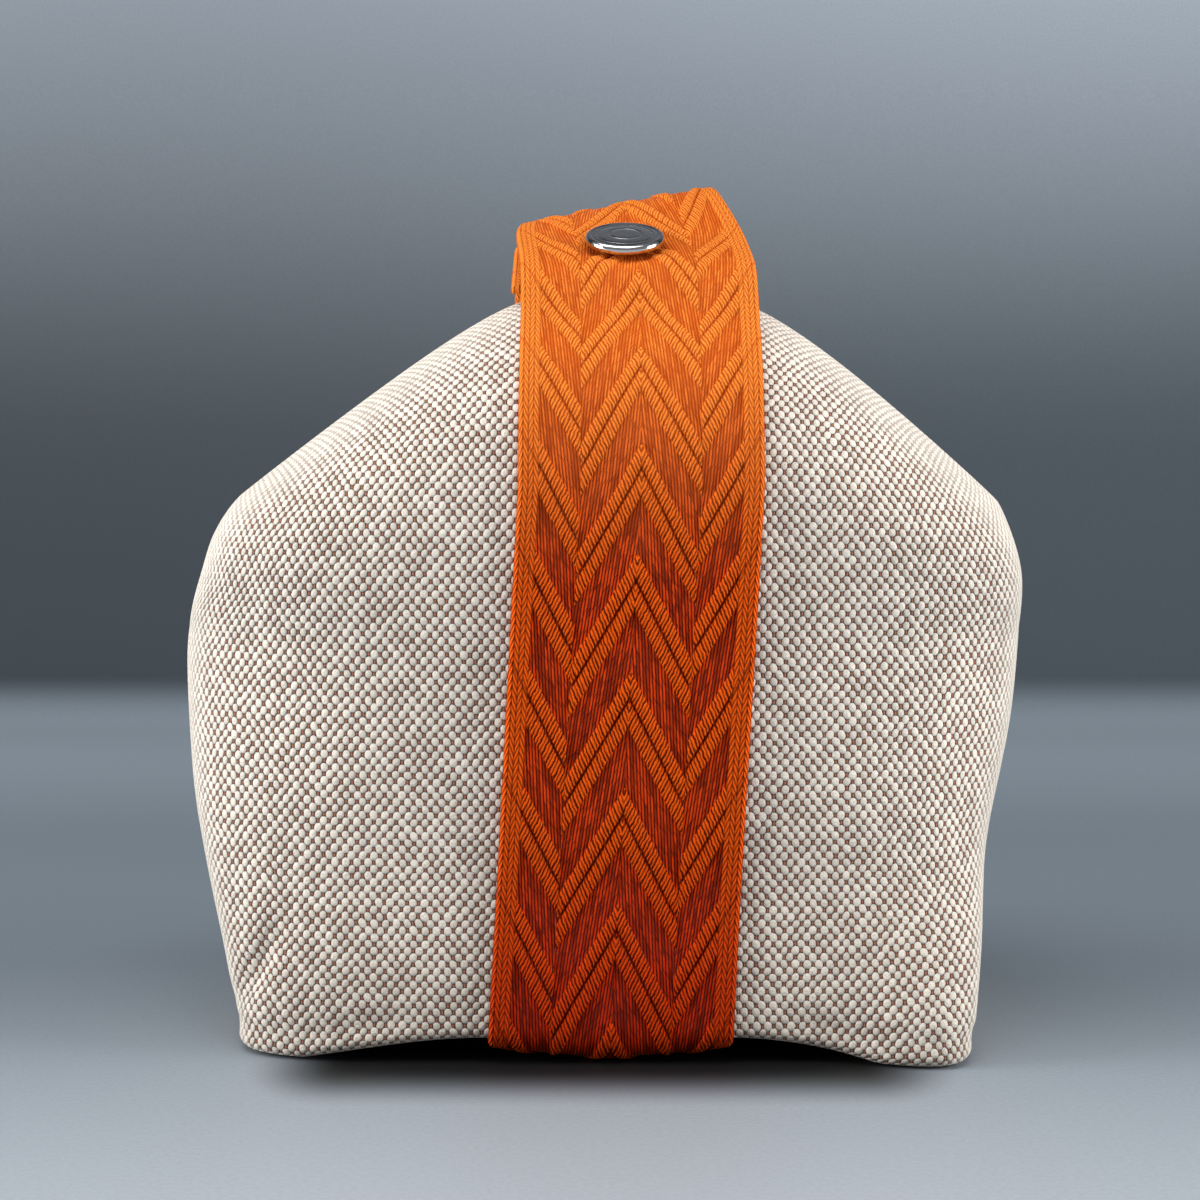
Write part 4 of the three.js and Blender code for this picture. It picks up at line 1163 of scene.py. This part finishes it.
def strap_surfaces(line, run, twist, snap_run, tongue):
    """The outer and inner points of a run of webbing, and its map."""
    half = STRAP_WIDTH / 2
    across, along = np.meshgrid(np.linspace(-half, half, STRAP_COLUMNS), run)
    out = ways_out(line)
    twist = twist[:, None]
    end = across / half
    bow = (-out[:, 1]).clip(0, 1) * (line[:, 1] < BOW_BELOW)
    lift = -STRAP_BOW * end**2 * bow[:, None]
    lift += (np.where(end < 0, *TWISTS) * end + LOOP_LIFT) * twist
    lift += LOOP_ARCH * (1 - end**2) * twist
    gather = np.where(end < 0, *LOOP_GATHERS) * twist
    x = across * (1 - gather) + strap_shift(line, tongue)[:, None]
    from_snap = np.hypot(x - SNAP_SIDEWAYS, along - snap_run)
    puff = PUCKER * (bell(from_snap, PUCKER_RADIUS, PUCKER_WIDTH) - (1 - smooth(from_snap, *PRESSED_REACH)))
    rim = np.sqrt(1 - (1 - np.clip((half - np.abs(across)) / RIM_ROUNDING, 0, 1)) ** 2)
    thick = WEB_BODY * (0.55 + 0.45 * rim) + relief(across, along) * (0.3 + 0.7 * rim) + puff

    def at(height):
        return np.stack([x, line[:, :1] + out[:, :1] * height, line[:, 1:] + out[:, 1:] * height], axis=2)

    return at(lift + thick), at(lift), np.stack([across, along], axis=2)


# %% Strap maker
UNDERSIDE_STRIDE = 4


def strap_piece(name, line, run, twist, snap_run, tongue=False):
    """One run of webbing: a fine outside, a coarse underside and a rim on all four edges."""
    outer, inner, cloth = strap_surfaces(line, run, twist, snap_run, tongue)
    rows, columns = outer.shape[:2]
    stride = UNDERSIDE_STRIDE
    inner = inner[::stride, ::stride]
    low_rows, low_columns = inner.shape[:2]
    first = rows * columns
    points = np.concatenate([outer.reshape(-1, 3), inner.reshape(-1, 3)])
    maps = np.concatenate([cloth.reshape(-1, 2), cloth[::stride, ::stride].reshape(-1, 2)])
    faces = grid_faces(rows, columns)
    faces += [tuple(first + index for index in face[::-1]) for face in grid_faces(low_rows, low_columns)]
    rims = (
        (low_rows, 0, columns, 0, low_columns, False),
        (low_rows, columns - 1, columns, low_columns - 1, low_columns, True),
        (low_columns, 0, 1, 0, 1, True),
        (low_columns, (rows - 1) * columns, 1, (low_rows - 1) * low_columns, 1, False),
    )
    for count, fine_start, fine_jump, coarse_start, coarse_jump, turned in rims:
        for k in range(count - 1):
            face = [fine_start + (k * stride + step) * fine_jump for step in range(stride + 1)]
            face += [first + coarse_start + (k + step) * coarse_jump for step in (1, 0)]
            faces.append(tuple(face[::-1] if turned else face))
    print(name, rows, "rows of", columns)
    return new_piece(name, points, faces, webbing_cloth, maps)


def nearest(line, place):
    return int(np.argmin(np.hypot(*(line - place).T)))


# %% Front run and flap
RUN_MARK = 40
LOOP_START = (6, 34)

front_run = line_run(flap_path)
foot = int(np.argmin(np.abs(flap_path[:, 1] - RUN_MARK) + (flap_path[:, 0] > 0) * 1000))
front_run += RUN_MARK - front_run[foot]
snap_run = front_run[nearest(flap_path, snap_place(0, FLAP_LOW))]
past_snap = smooth(front_run - snap_run, *LOOP_START)
flap_strap = strap_piece("strap_front_and_flap", flap_path, front_run, past_snap, snap_run)
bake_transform(flap_strap)
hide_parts("strap_flap")

# %% Tongue, back run and base
back_run = line_run(tongue_path)
back_run += front_run[0] - back_run[-1]
level = np.zeros(len(tongue_path))
tongue_snap = back_run[nearest(tongue_path, snap_place(0, 0))]
tongue_strap = strap_piece("strap_tongue_and_back", tongue_path, back_run, level, tongue_snap, True)
stand_in(tongue_strap, "bag_body", "webbing", "strap_wrap", "strap_tongue")

# %% [markdown]
# ## Metal
# The snap and the zip are plated brass. Plating is smooth but never perfect: fingers leave a faint
# haze, and wiping leaves fine hairlines. One node group makes haze and hairlines from the piece's own
# coordinates, so that they move with it, and both metals use it with their own tint.

# %% Metal group and materials
desk, given, out = new_group(
    "plated_metal",
    {"Place": VECTOR, "Tint": COLOUR, "Polish": FLOAT},
    {"Colour": COLOUR, "Roughness": FLOAT},
)
haze = desk.ease(desk.noise(given["Place"], 260.0, 3.0), 0.35, 0.75)
x, y, z = desk.split(given["Place"])
hair = desk.ease(desk.noise(desk.join(x * 900.0, y * 9000.0, z * 4000.0), 1.0), 0.55, 0.8)
desk.feed(out["Roughness"], given["Polish"] + haze * 0.07 + hair * 0.05)
desk.feed(out["Colour"], desk.shaded(given["Tint"], desk.ease(haze, 0.0, 1.0, 1.0, 0.92)))


def metal(name, tint, polish):
    material, desk, shader = new_material(name, {"Metallic": 1.0})
    place = desk.source("ShaderNodeTexCoord", "Object")
    plated = place_group(desk, "plated_metal", {"Place": place, "Tint": tint, "Polish": polish})
    desk.feed(shader["Base Color"], plated["Colour"])
    desk.feed(shader["Roughness"], plated["Roughness"])
    return material


snap_metal = metal("snap_plating", (0.66, 0.66, 0.67, 1), 0.06)
zip_metal = metal("zip_plating", (0.60, 0.59, 0.57, 1), 0.14)

# %% [markdown]
# ## Snap
# A snap is four turned pieces: a cap whose barrel goes through the flap, a socket under the flap, a
# stud on the tongue and a post that holds it from below. They are stamped and turned from sheet, so
# each is a profile spun about the snap's axis. The cap carries plain concentric rings and no letters.

# %% Snap profiles, as radius and height over the seat
CAP_OUTLINE = [
    (0.0, 5.8), (1.7, 5.8), (1.7, 8.1), (7.8, 8.1), (8.25, 8.2), (8.5, 8.45), (8.6, 8.8), (8.6, 9.25),
    (8.5, 9.65), (8.25, 9.95), (7.9, 10.1), (7.5, 10.12), (7.3, 10.0), (7.1, 9.98), (6.9, 10.06),
    (6.4, 10.1), (6.2, 10.1), (6.05, 10.03), (5.9, 10.1), (5.2, 10.16), (4.2, 10.22), (3.5, 10.25),
    (3.35, 10.17), (3.2, 10.25), (2.4, 10.27), (1.2, 10.3), (0.0, 10.3),
]
SOCKET_OUTLINE = [
    (0.0, 5.05), (3.0, 5.05), (3.1, 4.95), (3.1, 3.3), (3.3, 3.1), (5.8, 3.1), (6.1, 3.2), (6.2, 3.5),
    (6.2, 4.9), (6.1, 5.25), (5.75, 5.5), (0.0, 5.5),
]
STUD_OUTLINE = [
    (0.0, 2.3), (5.4, 2.3), (5.6, 2.4), (5.6, 2.7), (5.4, 2.8), (2.2, 2.8), (1.85, 2.95), (1.8, 3.2),
    (2.0, 3.55), (2.1, 3.8), (2.05, 4.15), (1.8, 4.5), (1.45, 4.68), (0.0, 4.7),
]
POST_OUTLINE = [
    (0.0, -0.8), (5.3, -0.8), (5.6, -0.7), (5.6, -0.4), (5.45, -0.3), (1.7, -0.3), (1.7, 2.0), (0.0, 2.0),
]

# %% Snap
TURN_STEPS = 96
SHARP_ANGLE = math.radians(38)


def spun(name, outline, material):
    """Spins a profile of radius and height about the snap's axis."""
    turn = np.linspace(0, 2 * math.pi, TURN_STEPS, endpoint=False)
    points = []
    for radius, height in outline:
        for angle in turn if radius else turn[:1]:
            place = snap_place(radius * math.sin(angle), height)
            points.append([SNAP_SIDEWAYS + radius * math.cos(angle), *place])
    faces = []
    last = len(points) - 1
    rings = len(outline) - 2
    for step in range(TURN_STEPS):
        after = (step + 1) % TURN_STEPS
        faces.append((0, 1 + after, 1 + step))
        for ring in range(rings - 1):
            low = 1 + ring * TURN_STEPS
            high = low + TURN_STEPS
            faces.append((low + step, low + after, high + after, high + step))
        top = 1 + (rings - 1) * TURN_STEPS
        faces.append((last, top + step, top + after))
    piece = new_piece(name, points, faces, material)
    piece.data.set_sharp_from_angle(angle=SHARP_ANGLE)
    return piece


for node, body, outline in (
    ("snap_cap", "flap", CAP_OUTLINE),
    ("snap_socket", "flap", SOCKET_OUTLINE),
    ("snap_stud", "bag_body", STUD_OUTLINE),
    ("snap_post", "bag_body", POST_OUTLINE),
):
    stand_in(spun(f"{node}_turned", outline, snap_metal), body, "snap_metal", node)
print("snap stands at x", round(SNAP_SIDEWAYS, 2), "mm")

# %% [markdown]
# ## Zip
# The zip hides between the two lips of the mouth. Its teeth, stops, runner and pull are hard and come
# straight from the solid model with the plated finish. The tapes and the end tabs are cloth, so they
# are woven strips bent along the zip's arc, and a little wavy where they are sewn to the lips.

# %% Zip metal
ZIP_HARDWARE = [
    "zip_teeth_front", "zip_teeth_back", "zip_stop_left", "zip_stop_right",
    "zip_slider", "zip_slider_base", "zip_pull",
]
for name in ZIP_HARDWARE:
    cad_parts[name].data.materials.clear()
    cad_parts[name].data.materials.append(zip_metal)

# %% Zip tapes and tabs
TAPE_MIDDLE = 83.7
TAPE_THICKNESS = 0.6
TAPE_HALF_ANGLE = 57.0
TAPE_HALF_DEPTH = 12.5
TAPE_WAVE = 0.08
TAPE_WAVES = 46
TAPE_ROWS = 17
TAPE_COLUMNS = 121
TAB_FROM_ANGLE = 51.1
TAB_MIDDLE = 84.7
TAB_THICKNESS = 0.8
TAB_HALF_DEPTH = 5.5
TAB_ROWS = 15
TAB_COLUMNS = 13


def arc_strip(name, angles, depths, radius, thickness):
    """A strip of tape bent along the zip's arc, with its weave running along it."""
    turns, depth = np.meshgrid(np.radians(angles), depths)
    wavy = radius + TAPE_WAVE * np.sin(turns * TAPE_WAVES) * (np.abs(depth) / TAPE_HALF_DEPTH) ** 2
    x = ZIP_SHIFT + wavy * np.sin(turns)
    z = ZIP_CENTRE_HEIGHT + wavy * np.cos(turns)
    cloth = np.stack([depth, turns * radius], axis=2)
    piece = grid_piece(name, np.stack([x, depth, z], axis=2), tape_cloth, cloth)
    thicken(piece, thickness, 0)
    return piece


tape_angles = np.linspace(-TAPE_HALF_ANGLE, TAPE_HALF_ANGLE, TAPE_COLUMNS)
front_depths = np.linspace(-TAPE_HALF_DEPTH, -SEAM_GAP / 2, TAPE_ROWS)
for end, depths in (("front", front_depths), ("back", -front_depths[::-1])):
    tape = arc_strip(f"zip_tape_{end}_woven", tape_angles, depths, TAPE_MIDDLE, TAPE_THICKNESS)
    stand_in(tape, "bag_body", "zip_tape", f"zip_tape_{end}")
tab_depths = np.linspace(-TAB_HALF_DEPTH, TAB_HALF_DEPTH, TAB_ROWS)
for end, sign in (("left", -1), ("right", 1)):
    angles = np.sort(sign * np.linspace(TAB_FROM_ANGLE, TAPE_HALF_ANGLE, TAB_COLUMNS))
    tab = arc_strip(f"zip_tab_{end}_woven", angles, tab_depths, TAB_MIDDLE, TAB_THICKNESS)
    stand_in(tab, "bag_body", "zip_tape", f"zip_tab_{end}")
